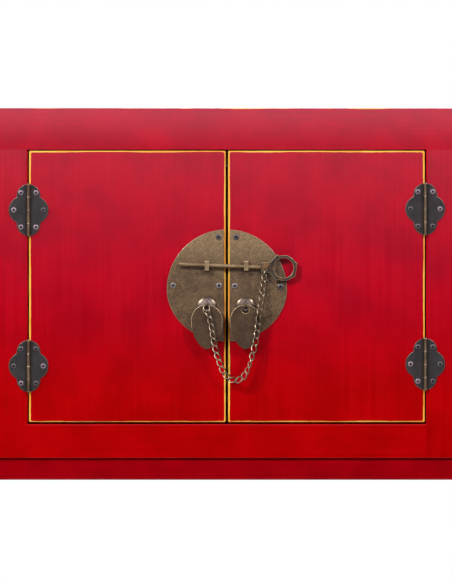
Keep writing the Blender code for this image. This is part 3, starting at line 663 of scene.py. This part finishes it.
def add_piece(name, shape, materials, body):
    """An object from a finished mesh shape, riding on its body if it has only one."""
    bmesh.ops.recalc_face_normals(shape, faces=shape.faces)
    shade(shape)
    mesh = bpy.data.meshes.new(name)
    shape.to_mesh(mesh)
    shape.free()
    for material in materials:
        mesh.materials.append(material)
    piece = bpy.data.objects.new(name, mesh)
    bpy.context.scene.collection.objects.link(piece)
    if body:
        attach(piece, body)
    return piece


def add_worn(node, shape, materials, body):
    """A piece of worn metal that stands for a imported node."""
    piece = add_piece(node + "_worn", shape, materials, body)
    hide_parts(node)


def node_shape(node):
    """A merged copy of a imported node's mesh, with flat areas made whole."""
    shape = bmesh.new()
    shape.from_mesh(frame["nodes"][node].data)
    bmesh.ops.remove_doubles(shape, verts=shape.verts, dist=MERGE)
    bmesh.ops.dissolve_limit(shape, angle_limit=WHOLE_ANGLE, verts=shape.verts, edges=shape.edges)
    return shape


def box_shape(low, high):
    """A box between two corners."""
    shape = bmesh.new()
    bmesh.ops.create_cube(shape, size=1.0)
    bmesh.ops.scale(shape, vec=Vector(high) - Vector(low), verts=shape.verts)
    bmesh.ops.translate(shape, vec=(Vector(low) + Vector(high)) / 2, verts=shape.verts)
    return shape


def spin_profile(shape, profile, centre, axis, sides, merge, closed=False):
    """Turns a profile once round an axis."""
    corners = [shape.verts.new(corner) for corner in profile]
    following = corners[1:] + corners[:1] if closed else corners[1:]
    edges = [shape.edges.new(pair) for pair in zip(corners, following)]
    bmesh.ops.spin(
        shape, geom=corners + edges, cent=centre, axis=axis, angle=math.tau, steps=sides,
        use_merge=True, use_duplicate=False,
    )
    bmesh.ops.remove_doubles(shape, verts=shape.verts, dist=merge)


def slice_shape(shape, place, direction, dist=SNAP, clear_outer=False):
    """Cuts edges into a shape along a plane, and may take away what lies beyond it."""
    everything = list(shape.verts) + list(shape.edges) + list(shape.faces)
    bmesh.ops.bisect_plane(
        shape, geom=everything, dist=dist, plane_co=place, plane_no=direction, clear_outer=clear_outer
    )


def cut_away(shape, cutters):
    """The mesh of a shape after each cutter is taken from it."""
    pieces = []
    for part in [shape, *cutters]:
        mesh = bpy.data.meshes.new("working")
        part.to_mesh(mesh)
        part.free()
        piece = bpy.data.objects.new("working", mesh)
        bpy.context.scene.collection.objects.link(piece)
        pieces.append(piece)
    for cutter in pieces[1:]:
        cut = pieces[0].modifiers.new("cut", "BOOLEAN")
        cut.operation = "DIFFERENCE"
        cut.solver = "EXACT"
        cut.object = cutter
    bpy.context.view_layer.update()
    whole = pieces[0].evaluated_get(bpy.context.evaluated_depsgraph_get())
    mesh = bpy.data.meshes.new_from_object(whole)
    for piece in pieces:
        bpy.data.objects.remove(piece)
    return mesh


def round_edges(shape, offset, chosen, segments=2):
    """Rounds the sharp arrises whose middles are chosen, and returns the new faces."""
    edges = []
    for edge in shape.edges:
        if edge.is_manifold and edge.calc_face_angle() > ARRIS_ANGLE:
            if chosen((edge.verts[0].co + edge.verts[1].co) / 2):
                edges.append(edge)
    rounded = bmesh.ops.bevel(
        shape, geom=edges, offset=offset, offset_type="OFFSET", segments=segments, profile=0.5,
        affect="EDGES", clamp_overlap=False, material=-1,
    )
    return rounded["faces"]


def round_rim(shape, offset, chosen, segments=2):
    """Rounds chosen arrises, and marks them for a lighter rim, partly wear and partly a painted highlight."""
    rim = shape.faces.layers.float.get("rim") or shape.faces.layers.float.new("rim")
    for face in round_edges(shape, offset, chosen, segments):
        face[rim] = 1.0


# Screws
def cap_height(radius):
    """The height of a screw head of radius 1 at a distance from its axis: flat, with a rounded shoulder."""
    return SCREW_RISE * (1.0 - SCREW_DOME * radius**2 - SCREW_SHOULDER * radius**8)


def cross_arm(turn):
    """A tapered bar that cuts one slot of a cross recess."""
    arm = bmesh.new()
    bmesh.ops.create_cube(arm, size=1.0)
    bmesh.ops.scale(arm, vec=CROSS_ARM, verts=arm.verts)
    bmesh.ops.translate(arm, vec=(0.0, 0.0, CROSS_HEIGHT), verts=arm.verts)
    low = [vertex for vertex in arm.verts if vertex.co.z < CROSS_HEIGHT]
    bmesh.ops.scale(arm, vec=CROSS_TAPER, verts=low)
    bmesh.ops.rotate(arm, matrix=Matrix.Rotation(turn, 3, "Z"), verts=arm.verts)
    return arm


def make_screw_head():
    """A domed head of radius 1, standing on Z 0, with a dish and a tapered cross cut into it."""
    head = bmesh.new()
    profile = [(i / SCREW_STEPS, 0.0, cap_height(i / SCREW_STEPS)) for i in range(SCREW_STEPS + 1)]
    profile += [(1.0, 0.0, 0.0), (0.0, 0.0, 0.0)]
    spin_profile(head, profile, centre=(0, 0, 0), axis=(0, 0, 1), sides=SCREW_SIDES, merge=TOUCH)
    bmesh.ops.recalc_face_normals(head, faces=head.faces)
    dish = bmesh.new()
    bmesh.ops.create_cone(
        dish, cap_ends=True, segments=DISH_SIDES, depth=DISH_DEPTH,
        radius1=DISH_LOW_RADIUS, radius2=DISH_HIGH_RADIUS,
        matrix=Matrix.Translation((0.0, 0.0, SCREW_RISE + DISH_ABOVE)),
    )
    mesh = cut_away(head, [dish, cross_arm(0.0), cross_arm(math.pi / 2)])
    shape = bmesh.new()
    shape.from_mesh(mesh)
    recess = shape.faces.layers.float.new("recess")
    for face in shape.faces:
        middle = face.calc_center_median()
        away = math.hypot(middle.x, middle.y)
        if away < RECESS_REACH and RECESS_FLOOR < middle.z < cap_height(away) - RECESS_DEPTH:
            face[recess] = 1.0
    shape.to_mesh(mesh)
    shape.free()
    return mesh


SCREW_HEAD = make_screw_head()


def add_screws(name, places, radius, body, front, metal):
    """Pan-head screws with cross recesses, one object for all of a plate's screws."""
    shape = bmesh.new()
    for x, z in places:
        turn = Matrix.Rotation(rng.uniform(0.0, math.tau), 4, "Z")
        stand = Matrix.Translation((x, in_front(front), z)) @ Matrix.Rotation(math.pi / 2, 4, "X")
        copy = SCREW_HEAD.copy()
        copy.transform(stand @ turn @ Matrix.Scale(radius, 4))
        tone = 1 if rng.random() < DULL_SHARE else 0
        copy.polygons.foreach_set("material_index", [tone] * len(copy.polygons))
        shape.from_mesh(copy)
        bpy.data.meshes.remove(copy)
    add_piece(name, shape, [metal, DARK_STEEL], body)


# Boards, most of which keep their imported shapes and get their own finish
def longest_axis(node):
    """The axis along which a board is longest, 0 to 2 for X to Z."""
    low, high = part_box(node)
    size = high - low
    return max(range(3), key=lambda axis: size[axis])


def finish_boards():
    """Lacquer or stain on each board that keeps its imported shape. The doors' arrises are rubbed."""
    for node, piece in frame["nodes"].items():
        finish = piece.data.materials[0].name.split(".")[0]
        axis = GRAIN_AXES.get(node, longest_axis(node))
        low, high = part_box(node)
        rub = 0.0
        if node in DOOR_RUB_LESS:
            rub = DOOR_RUB
            low -= Vector(DOOR_RUB_LESS[node][0])
            high += Vector(DOOR_RUB_LESS[node][1])
        if finish == "red_lacquer" and node not in REMADE_NODES:
            # The aprons get the deeper red, which is partly painted shade.
            tones = DEEP_RED_AND_SHADE if node.endswith("apron") else RED
            piece.data.materials[0] = lacquer(node, axis, low, high, rub, tones=tones)
        elif finish == "stained_wood":
            piece.data.materials[0] = stained_wood(node, axis)


def add_face():
    """The stiles and the bottom rail under one coat of lacquer, which hides the joints between them."""
    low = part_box("left_stile")[0]
    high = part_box("right_stile")[1]
    high.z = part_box("top_front_rail")[0].z
    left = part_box("left_stile")[1].x
    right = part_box("right_stile")[0].x
    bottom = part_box("bottom_rail")[1].z

    def at_opening(middle):
        beside = min(abs(middle.x - left), abs(middle.x - right)) < TOUCH
        below = left < middle.x < right and abs(middle.z - bottom) < TOUCH
        return middle.y < low.y + TOUCH and (beside or below)

    def at_foot(middle):
        return middle.y < low.y + TOUCH and middle.z < low.z + TOUCH

    hole_low = (left, low.y - CUT_PAST, bottom)
    hole_high = (right, high.y + CUT_PAST, high.z + CUT_PAST)
    shape = bmesh.new()
    shape.from_mesh(cut_away(box_shape(low, high), [box_shape(hole_low, hole_high)]))
    round_edges(shape, OPENING_ROUND, at_opening)
    round_edges(shape, ARRIS_ROUND, at_foot)
    for x in (left, right):
        slice_shape(shape, (x, 0, 0), (1, 0, 0))
    for face in shape.faces:
        face.material_index = 1 if left < face.calc_center_median().x < right else 0
    finishes = [lacquer("stiles", 2, low, high, 0.0), lacquer("bottom_rail", 0, low, high, 0.0)]
    face = add_piece("face_lacquered", shape, finishes, "frame")
    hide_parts(*FACE_NODES)


def crown_front(board, low, high):
    """Planes a rail's front very slightly round, so that it falls back towards its upper and lower edge."""
    half = (high.z - low.z) / 2
    for i in range(1, CROWN_STEPS):
        slice_shape(board, (0, 0, low.z + 2 * half * i / CROWN_STEPS), (0, 0, 1))
    for vertex in board.verts:
        if vertex.co.y < low.y + TOUCH:
            vertex.co.y += CROWN * ((vertex.co.z - low.z) / half - 1) ** 2


def add_top_rail():
    """The front rail of the top, mitred at its ends and rebated for the panel, with its top arris rubbed."""
    low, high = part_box("top_front_rail")
    panel_low, panel_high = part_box("top_panel")
    clear = Vector((GAP, GAP, GAP))
    shape = box_shape(low, high)
    for sign in SIDES.values():
        slice_shape(shape, (sign * high.x, low.y, 0), (sign, 1, 0), dist=0.0, clear_outer=True)
        cut = [edge for edge in shape.edges if edge.is_boundary]
        bmesh.ops.contextual_create(shape, geom=cut)
    bmesh.ops.recalc_face_normals(shape, faces=shape.faces)
    room = box_shape(panel_low - clear, panel_high + clear)
    board = bmesh.new()
    board.from_mesh(cut_away(shape, [room]))
    round_edges(board, TOP_ROUND, lambda middle: middle.y < low.y + TOUCH and middle.z > high.z - TOUCH)
    crown_front(board, low, high)
    rub_low = Vector((-FAR, low.y, -FAR))
    rub_high = Vector((FAR, FAR, high.z))
    finish = lacquer("top_front_rail", 0, rub_low, rub_high, TOP_RUB, TOP_RUB_LEAST)
    rail = add_piece("top_front_rail_lacquered", board, [finish], "frame")
    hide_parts("top_front_rail")


# Hinges
def add_hinges():
    """Four hinges, each with two leaves, their screws and a pin."""
    for side, sign in SIDES.items():
        for place in HINGE_PLACES:
            hinge = f"{side}_{place}_hinge"
            pin = hinge + "_pin"
            low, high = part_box(pin)
            centre = (low + high) / 2
            for kind, way, body in (("frame", sign, "frame"), ("door", -sign, side + "_door")):
                half = f"{hinge}_{kind}"
                add_leaf(half + "_leaf", centre, body)
                spots = [(centre.x + way * out, centre.z + up) for out, up in HINGE_SCREWS]
                add_screws(half + "_screws", spots, HINGE_SCREW_RADIUS, body, LEAF_FRONT, BRIGHT_STEEL)
            add_worn(pin, node_shape(pin), [WORN_BRASS], "frame")


def add_leaf(node, centre, body):
    """A dark leaf with a thin lighter rim, partly wear and partly painted highlight, and painted shade beside
    the pin where the knuckles' shadow falls. Its brass knuckles have rounded ends that are lighter, as wear
    and painted glints.
    """
    shape = node_shape(node)
    front = in_front(LEAF_FRONT)

    def on_rim(middle):
        return abs(middle.y - front) < TOUCH and abs(middle.x - centre.x) > 2 * KNUCKLE_RADIUS

    def on_knuckle(middle):
        away = math.hypot(middle.x - centre.x, middle.y - centre.y)
        return abs(away - KNUCKLE_RADIUS) < KNUCKLE_SLACK and middle.y < front - GAP

    round_rim(shape, RIM_ROUND, on_rim)
    round_rim(shape, KNUCKLE_ROUND, on_knuckle)
    # Painted shade: the leaf darkens in steps towards the pin.
    for reach in PIN_SHADE_REACHES:
        for way in (-1, 1):
            slice_shape(shape, (centre.x + way * reach, 0, 0), (1, 0, 0))
    darkening = shape.faces.layers.float.new("darkening")
    for face in shape.faces:
        farthest = max(math.hypot(v.co.x - centre.x, v.co.y - centre.y) for v in face.verts)
        if farthest < KNUCKLE_RADIUS + GAP / 2:
            face.material_index = 1
        else:
            away = abs(face.calc_center_median().x - centre.x)
            face[darkening] = PIN_SHADE * sum(away < reach for reach in PIN_SHADE_REACHES) / len(PIN_SHADE_REACHES)
    add_worn(node, shape, [DARK_BRONZE, WORN_BRASS], body)


# Lock plates and keepers, with the bosses and eyes of the pulls
def add_lock():
    """What sits on each door's half of the lock."""
    for side in SIDES:
        add_plate(side, side + "_door")
        add_keeper(side, side + "_door")
        add_boss(side, side + "_door")
        add_eye(side, side + "_door")


def on_plate_rim(middle):
    """On the round outline of the lock plates' front, away from the doors' seam and the stem holes."""
    near_front = abs(middle.y - in_front(PLATE_FRONT)) < TOUCH
    from_centre = math.hypot(middle.x, middle.z - LOCK_HEIGHT)
    return near_front and abs(middle.x) > PLATE_SEAM and from_centre > PLATE_RIM_FROM


def add_plate(side, body):
    """One half of the round plate, with its screws."""
    node = side + "_lock_plate"
    shape = node_shape(node)
    round_rim(shape, RIM_ROUND, on_plate_rim)
    add_worn(node, shape, [AGED_BRASS], body)
    spots = [(x, LOCK_HEIGHT + up) for x, up in PLATE_SCREWS[side]]
    add_screws(node + "_screws", spots, PLATE_SCREW_RADIUS, body, PLATE_FRONT, GREY_STEEL)


def add_keeper(side, body):
    """The staple that the bolt runs through, rounded where it stands out past the bolt's middle."""
    node = side + "_bolt_keeper"
    shape = node_shape(node)
    round_rim(shape, KEEPER_ROUND, lambda middle: middle.y < in_front(BOLT_OUT))
    add_worn(node, shape, [KEEPER_BRASS], body)


def add_boss(side, body):
    """A round dome with a rolled foot and a dished ring round the stem."""
    profile = (
        (STEM_BORE, 0.0),
        (0.98 * BOSS_RADIUS, 0.0),
        (BOSS_RADIUS, 0.10 * BOSS_HEIGHT),
        (0.99 * BOSS_RADIUS, 0.24 * BOSS_HEIGHT),
        (0.955 * BOSS_RADIUS, 0.36 * BOSS_HEIGHT),
        (0.88 * BOSS_RADIUS, 0.52 * BOSS_HEIGHT),
        (0.76 * BOSS_RADIUS, 0.70 * BOSS_HEIGHT),
        (0.60 * BOSS_RADIUS, 0.86 * BOSS_HEIGHT),
        (0.42 * BOSS_RADIUS, 0.96 * BOSS_HEIGHT),
        (0.26 * BOSS_RADIUS, BOSS_HEIGHT),
        (0.19 * BOSS_RADIUS, 0.92 * BOSS_HEIGHT),
        (STEM_BORE, 0.80 * BOSS_HEIGHT),
    )
    centre = Vector((PULL_PLACES[side], in_front(PLATE_FRONT + GAP), STEM_HEIGHT))
    placed = [centre + Vector((radius, -out, 0.0)) for radius, out in profile]
    shape = bmesh.new()
    spin_profile(shape, placed, centre, axis=(0, 1, 0), sides=BOSS_SIDES, merge=FINE_MERGE, closed=True)
    add_worn(side + "_pull_boss", shape, [BOSS_METAL], body)


def add_eye(side, body):
    """The wire eye, pressed down to an oval on its stem."""
    node = side + "_pull_eye"
    shape = node_shape(node)
    bottom = EYE_HEIGHT - EYE_INSIDE
    for vertex in shape.verts:
        if vertex.co.z > bottom:
            vertex.co.z = bottom + EYE_PRESS * (vertex.co.z - bottom)
    add_worn(node, shape, [BOSS_METAL], body)


# Pull tabs and bolt
def add_tabs():
    """The two tabs, with the upper part of their outlines lighter, partly wear and partly a painted highlight
    where light from above catches them.
    """
    for side in SIDES:
        node = side + "_pull_tab"
        low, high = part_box(node)
        shape = node_shape(node)
        highlight_from = high.z - TAB_HIGHLIGHT_DEPTH
        round_rim(shape, RIM_ROUND, lambda middle: middle.y < low.y + TOUCH and middle.z > highlight_from)
        add_worn(node, shape, [TAB_BRASS], side + "_pull")


def tilt_matrix():
    """Turns a level place on the bolt to the bolt's slant."""
    centre = Vector((0.0, in_front(BOLT_OUT), BOLT_HEIGHT))
    return Matrix.Translation(centre) @ Matrix.Rotation(BOLT_TILT, 4, "Y") @ Matrix.Translation(-centre)


def swell_shaft(shape):
    """Makes the bolt's shaft fuller, up to a shoulder just before the collar."""
    shoulder = SHAFT_RIGHT - SHAFT_SHOULDER
    slice_shape(shape, (shoulder, 0, 0), (1, 0, 0))
    for vertex in shape.verts:
        x = vertex.co.x
        if x < shoulder + TOUCH:
            axis = Vector((x, in_front(BOLT_OUT), BOLT_HEIGHT - x * math.tan(BOLT_TILT)))
            vertex.co = axis + SHAFT_SWELL * (vertex.co - axis)


def add_bolt():
    """The bolt with its fuller shaft, and a head whose rounded outline frames a sunken, darker middle."""
    shape = node_shape("bolt")
    swell_shaft(shape)
    front = in_front(BOLT_OUT + HEAD_THICKNESS / 2)
    round_rim(shape, HEAD_ROUND, lambda middle: abs(middle.y - front) < TOUCH, HEAD_ROUND_STEPS)
    flat = [face for face in shape.faces if abs(face.calc_center_median().y - front) < TOUCH]
    bmesh.ops.inset_region(
        shape, faces=flat, thickness=HEAD_FRAME, depth=-HEAD_SINK, use_even_offset=False, use_boundary=True
    )
    # The sunken middle of the head is made darker.
    darkening = shape.faces.layers.float.new("darkening")
    for face in shape.faces:
        middle = face.calc_center_median()
        sunken = abs(middle.y - front - HEAD_SINK) < TOUCH
        face[darkening] = HEAD_DARKENING if sunken else 0.0
        face.material_index = 0 if middle.x < SHAFT_RIGHT else 1
    add_worn("bolt", shape, [BOLT_BRASS, GREY_IRON], "bolt")


# Chain
def smooth_curve(points, per_span):
    """A Catmull-Rom curve through the points."""
    ends = [2 * points[0] - points[1]] + list(points) + [2 * points[-1] - points[-2]]
    curve = []
    for i in range(1, len(ends) - 2):
        before, start, end, after = ends[i - 1 : i + 3]
        for step in range(per_span):
            t = step / per_span
            linear = (end - before) * t
            square = (2 * before - 5 * start + 4 * end - after) * t**2
            cubic = (3 * start - 3 * end + after - before) * t**3
            curve.append(0.5 * (2 * start + linear + square + cubic))
    curve.append(points[-1])
    return curve


def evenly_spaced(curve, pitch):
    """Points at equal steps along the curve, both ends among them, as close to the pitch as fits."""
    travelled = [0.0]
    for before, after in zip(curve, curve[1:]):
        travelled.append(travelled[-1] + (after - before).length)
    count = max(2, round(travelled[-1] / pitch))
    spaced = []
    k = 1
    for i in range(count + 1):
        goal = travelled[-1] * i / count
        while k < len(curve) - 1 and travelled[k] < goal:
            k += 1
        part = (goal - travelled[k - 1]) / (travelled[k] - travelled[k - 1])
        spaced.append(curve[k - 1].lerp(curve[k], part))
    return spaced


def link_points(start, end, roll):
    """The centre line of one twisted, slanting oval link between two joints, rolled about its length."""
    along = (end - start).normalized()
    outward = Vector((0.0, -1.0, 0.0))
    outward = (outward - along * outward.dot(along)).normalized()
    across = along.cross(outward)
    half_length = (end - start).length / 2 + WIRE_TO_JOINT
    half_width = (LINK_WIDTH - LINK_WIRE) / 2
    points = []
    for i in range(LINK_POINTS):
        angle = math.tau * i / LINK_POINTS
        twist = LINK_TWIST * math.cos(angle) + roll
        side = across * math.cos(twist) + outward * math.sin(twist)
        slant = LINK_SHEAR * half_width * math.sin(angle) * math.cos(twist)
        lengthwise = half_length * math.cos(angle) - slant
        points.append((start + end) / 2 + along * lengthwise + side * half_width * math.sin(angle))
    return points


def ring_points(centre, first, second, radius):
    """The centre line of a round link in the plane of two directions."""
    points = []
    for i in range(LINK_POINTS):
        angle = math.tau * i / LINK_POINTS
        points.append(centre + (first * math.cos(angle) + second * math.sin(angle)) * radius)
    return points


def eye_link():
    """The ring in the left eye, before the tab: its centre line, and where the first link hangs on it."""
    sideways = Vector((1.0, 0.0, 0.0))
    hanging = Vector((0.0, -math.sin(EYE_LINK_LEAN), -math.cos(EYE_LINK_LEAN)))
    before_tab = TAB_THICKNESS / 2 + GAP + LINK_WIRE / 2
    below_eye = math.sqrt((EYE_INSIDE - EYE_LINK_GAP - LINK_WIRE / 2) ** 2 - before_tab**2)
    top = Vector((PULL_PLACES["left"], in_front(EYE_OUT + before_tab), EYE_HEIGHT - below_eye))
    centre = top + hanging * EYE_LINK_RADIUS
    leaving = sideways * math.sin(EYE_LINK_EXIT) + hanging * math.cos(EYE_LINK_EXIT)
    joint = centre + leaving * (EYE_LINK_RADIUS - WIRE_TO_JOINT)
    return ring_points(centre, sideways, hanging, EYE_LINK_RADIUS), joint


def collar_link():
    """The ring in the hole of the bolt's collar: its centre line, and where the last link hangs on it."""
    upward = Vector((0.0, 0.0, 1.0))
    outward = Vector((0.0, -1.0, 0.0))
    drop = COLLAR_RISE - CHAIN_HOLE_LIP - CHAIN_HOLE_RADIUS
    hole = tilt_matrix() @ Vector((SHAFT_RIGHT + CHAIN_HOLE_OUT, in_front(BOLT_OUT), BOLT_HEIGHT - drop))
    centre = hole - upward * COLLAR_LINK_RADIUS
    joint = centre - upward * (COLLAR_LINK_RADIUS - WIRE_TO_JOINT)
    return ring_points(centre, outward, upward, COLLAR_LINK_RADIUS), joint


def chain_loops():
    """The chain's wire loops in order, from the ring in the left eye to the ring in the bolt's collar."""
    eye_ring, first = eye_link()
    collar_ring, last = collar_link()
    route = [first]
    for right, below, stand in CHAIN_ROUTE:
        out = BOLT_OUT + (CHAIN_OUT - BOLT_OUT) * stand
        route.append(Vector((right, in_front(out), LOCK_HEIGHT - below)))
    route.append(last)
    joints = evenly_spaced(smooth_curve(route, ROUTE_STEPS), LINK_PITCH)
    links = []
    for i, (start, end) in enumerate(zip(joints, joints[1:]), 1):
        roll = ROLL + ROLL_PEAK * math.exp(-(((i - ROLL_LINK) / ROLL_SPREAD) ** 2))
        links.append(link_points(start, end, roll))
    return [eye_ring, *links, collar_ring]


def wire_shape(points):
    """A closed loop of round wire along the points, light where it faces out, left and up towards the
    stronger left softbox, with painted shade elsewhere."""
    data = bpy.data.curves.new("working", "CURVE")
    data.dimensions = "3D"
    data.bevel_depth = LINK_SWELL * LINK_WIRE / 2
    data.bevel_resolution = LINK_ROUNDNESS
    spline = data.splines.new("POLY")
    spline.points.add(len(points) - 1)
    for point, place in zip(spline.points, points):
        point.co = (*place, 1.0)
    spline.use_cyclic_u = True
    guide = bpy.data.objects.new("working", data)
    bpy.context.scene.collection.objects.link(guide)
    bpy.context.view_layer.update()
    mesh = bpy.data.meshes.new_from_object(guide.evaluated_get(bpy.context.evaluated_depsgraph_get()))
    bpy.data.objects.remove(guide)
    shape = bmesh.new()
    shape.from_mesh(mesh)
    bmesh.ops.remove_doubles(shape, verts=shape.verts, dist=FINE_MERGE)
    bmesh.ops.recalc_face_normals(shape, faces=shape.faces)
    darkening = shape.faces.layers.float.new("darkening")
    # Painted shade on each face, less the more it faces the lit side.
    for face in shape.faces:
        face[darkening] = LINK_SHADE * (1.0 - max(0.0, face.normal.dot(LINK_LIT_SIDE)) ** LINK_LIT_FALLOFF)
    return shape


def share_link(link):
    """Bakes a link's placement into its mesh."""
    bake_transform(link)


def add_chain():
    """The chain, loop by loop. The first loop rides on the left door and the last on the bolt; the links
    between ride on no body.
    """
    loops = chain_loops()
    middles = [sum(loop, Vector()) / len(loop) for loop in loops]
    given = [0.0, 1.0]
    for before, after in zip(middles[1:], middles[2:]):
        falls = (before - after).normalized().z > FALLING
        given.append(given[-1] + (FALLING_STEP if falls else 1.0))
    carried = {0: "left_door", len(loops) - 1: "bolt"}
    for i, loop in enumerate(loops):
        body = carried.get(i)
        link = add_piece(f"chain_link_{i:02d}", wire_shape(loop), [CHAIN_BRASS], body)
        if body is None:
            share_link(link)
        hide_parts("chain")


# Stage
def add_floor():
    """A pale round floor, whose rim fades into the white background."""
    shape = bmesh.new()
    bmesh.ops.create_circle(shape, cap_ends=True, segments=FLOOR_SIDES, radius=FLOOR_RADIUS)
    mesh = bpy.data.meshes.new("floor")
    shape.to_mesh(mesh)
    shape.free()
    material, tree, shader, place = new_material("floor")
    shader.inputs["Base Color"].default_value = colour(236, 234, 231)
    shader.inputs["Roughness"].default_value = 0.8
    glow = put(tree, "ShaderNodeEmission")
    away = put(tree, "ShaderNodeVectorMath", operation="LENGTH")
    join(tree, place, away.inputs[0])
    fade = remap(tree, away.outputs["Value"], FADE_RADIUS, FLOOR_RADIUS)
    seen = put(tree, "ShaderNodeLightPath").outputs["Is Camera Ray"]
    mix = put(tree, "ShaderNodeMixShader")
    join(tree, maths(tree, "MULTIPLY", fade, seen), mix.inputs[0])
    join(tree, shader.outputs[0], mix.inputs[1])
    join(tree, glow.outputs[0], mix.inputs[2])
    join(tree, mix.outputs[0], tree.nodes["Material Output"].inputs[0])
    mesh.materials.append(material)
    floor = bpy.data.objects.new("floor", mesh)
    bpy.context.scene.collection.objects.link(floor)


def add_world():
    """White to the camera, with a weak fill of light. Surfaces mirror a white backdrop behind the table, and
    a lit wall that is darker aside and towards the ceiling."""
    world = bpy.data.worlds.new("studio")
    bpy.context.scene.world = world
    world.use_nodes = True
    tree = world.node_tree
    background = tree.nodes["Background"]
    path = put(tree, "ShaderNodeLightPath").outputs
    white = (1.0, 1.0, 1.0, 1.0)
    join(tree, blend(tree, path["Is Camera Ray"], ROOM_TINT, white), background.inputs["Color"])
    towards = split(tree, put(tree, "ShaderNodeTexCoord").outputs["Generated"])
    backdrop = remap(tree, towards["Y"], *BACKDROP_SPAN)
    wall = remap(tree, towards["Z"], *WALL_SPAN, 0.0, WALL)
    below_ceiling = remap(tree, towards["Z"], *CEILING_SPAN, 1.0, CEILING)
    ahead = remap(tree, maths(tree, "ABSOLUTE", towards["X"]), *ASIDE_SPAN, 1.0, CEILING)
    in_view = maths(tree, "MULTIPLY", below_ceiling, ahead)
    room = maths(tree, "MAXIMUM", backdrop, maths(tree, "MULTIPLY", wall, in_view))
    mirrored = maths(tree, "MAXIMUM", path["Is Glossy Ray"], path["Is Transmission Ray"])
    fill = maths(tree, "MULTIPLY", maths(tree, "SUBTRACT", 1.0, mirrored), FILL)
    unseen = maths(tree, "MULTIPLY_ADD", mirrored, room, fill)
    join(tree, maths(tree, "MAXIMUM", path["Is Camera Ray"], unseen), background.inputs["Strength"])


def add_softbox(name, place, size, power, spread):
    """A square softbox that is aimed at the table."""
    data = bpy.data.lights.new(name, "AREA")
    data.shape = "SQUARE"
    data.size = size
    data.energy = power
    data.spread = spread
    light = bpy.data.objects.new(name, data)
    light.location = place
    light.rotation_euler = (Vector(LIGHT_AIM) - Vector(place)).to_track_quat("-Z", "Y").to_euler()
    bpy.context.scene.collection.objects.link(light)


def add_lights():
    """Two softboxes in front, the left one stronger, and a broad one behind."""
    aside, ahead, up = FRONT_LIGHT_PLACE
    for side, sign in SIDES.items():
        place = (sign * aside, ahead, up)
        add_softbox("softbox_" + side, place, FRONT_LIGHT_SIZE, FRONT_LIGHT_POWERS[side], FRONT_LIGHT_SPREAD)
    add_softbox("softbox_back", BACK_LIGHT_PLACE, BACK_LIGHT_SIZE, BACK_LIGHT_POWER, BACK_LIGHT_SPREAD)


def add_camera():
    """A camera straight in front, which sees the given height in the plane of the doors."""
    data = bpy.data.cameras.new("camera")
    data.sensor_width = SENSOR
    data.lens = SENSOR * CAMERA_DISTANCE / VIEW_HEIGHT
    camera = bpy.data.objects.new("camera", data)
    camera.location = (VIEW_CENTRE[0], FACE_Y - CAMERA_DISTANCE, VIEW_CENTRE[1])
    camera.rotation_euler = (math.pi / 2, 0.0, 0.0)
    bpy.context.scene.collection.objects.link(camera)
    bpy.context.scene.camera = camera
    bpy.context.scene.view_settings.view_transform = "Standard"


finish_boards()
add_face()
add_top_rail()
add_hinges()
add_lock()
add_tabs()
add_bolt()
add_chain()
add_floor()
add_world()
add_lights()
add_camera()
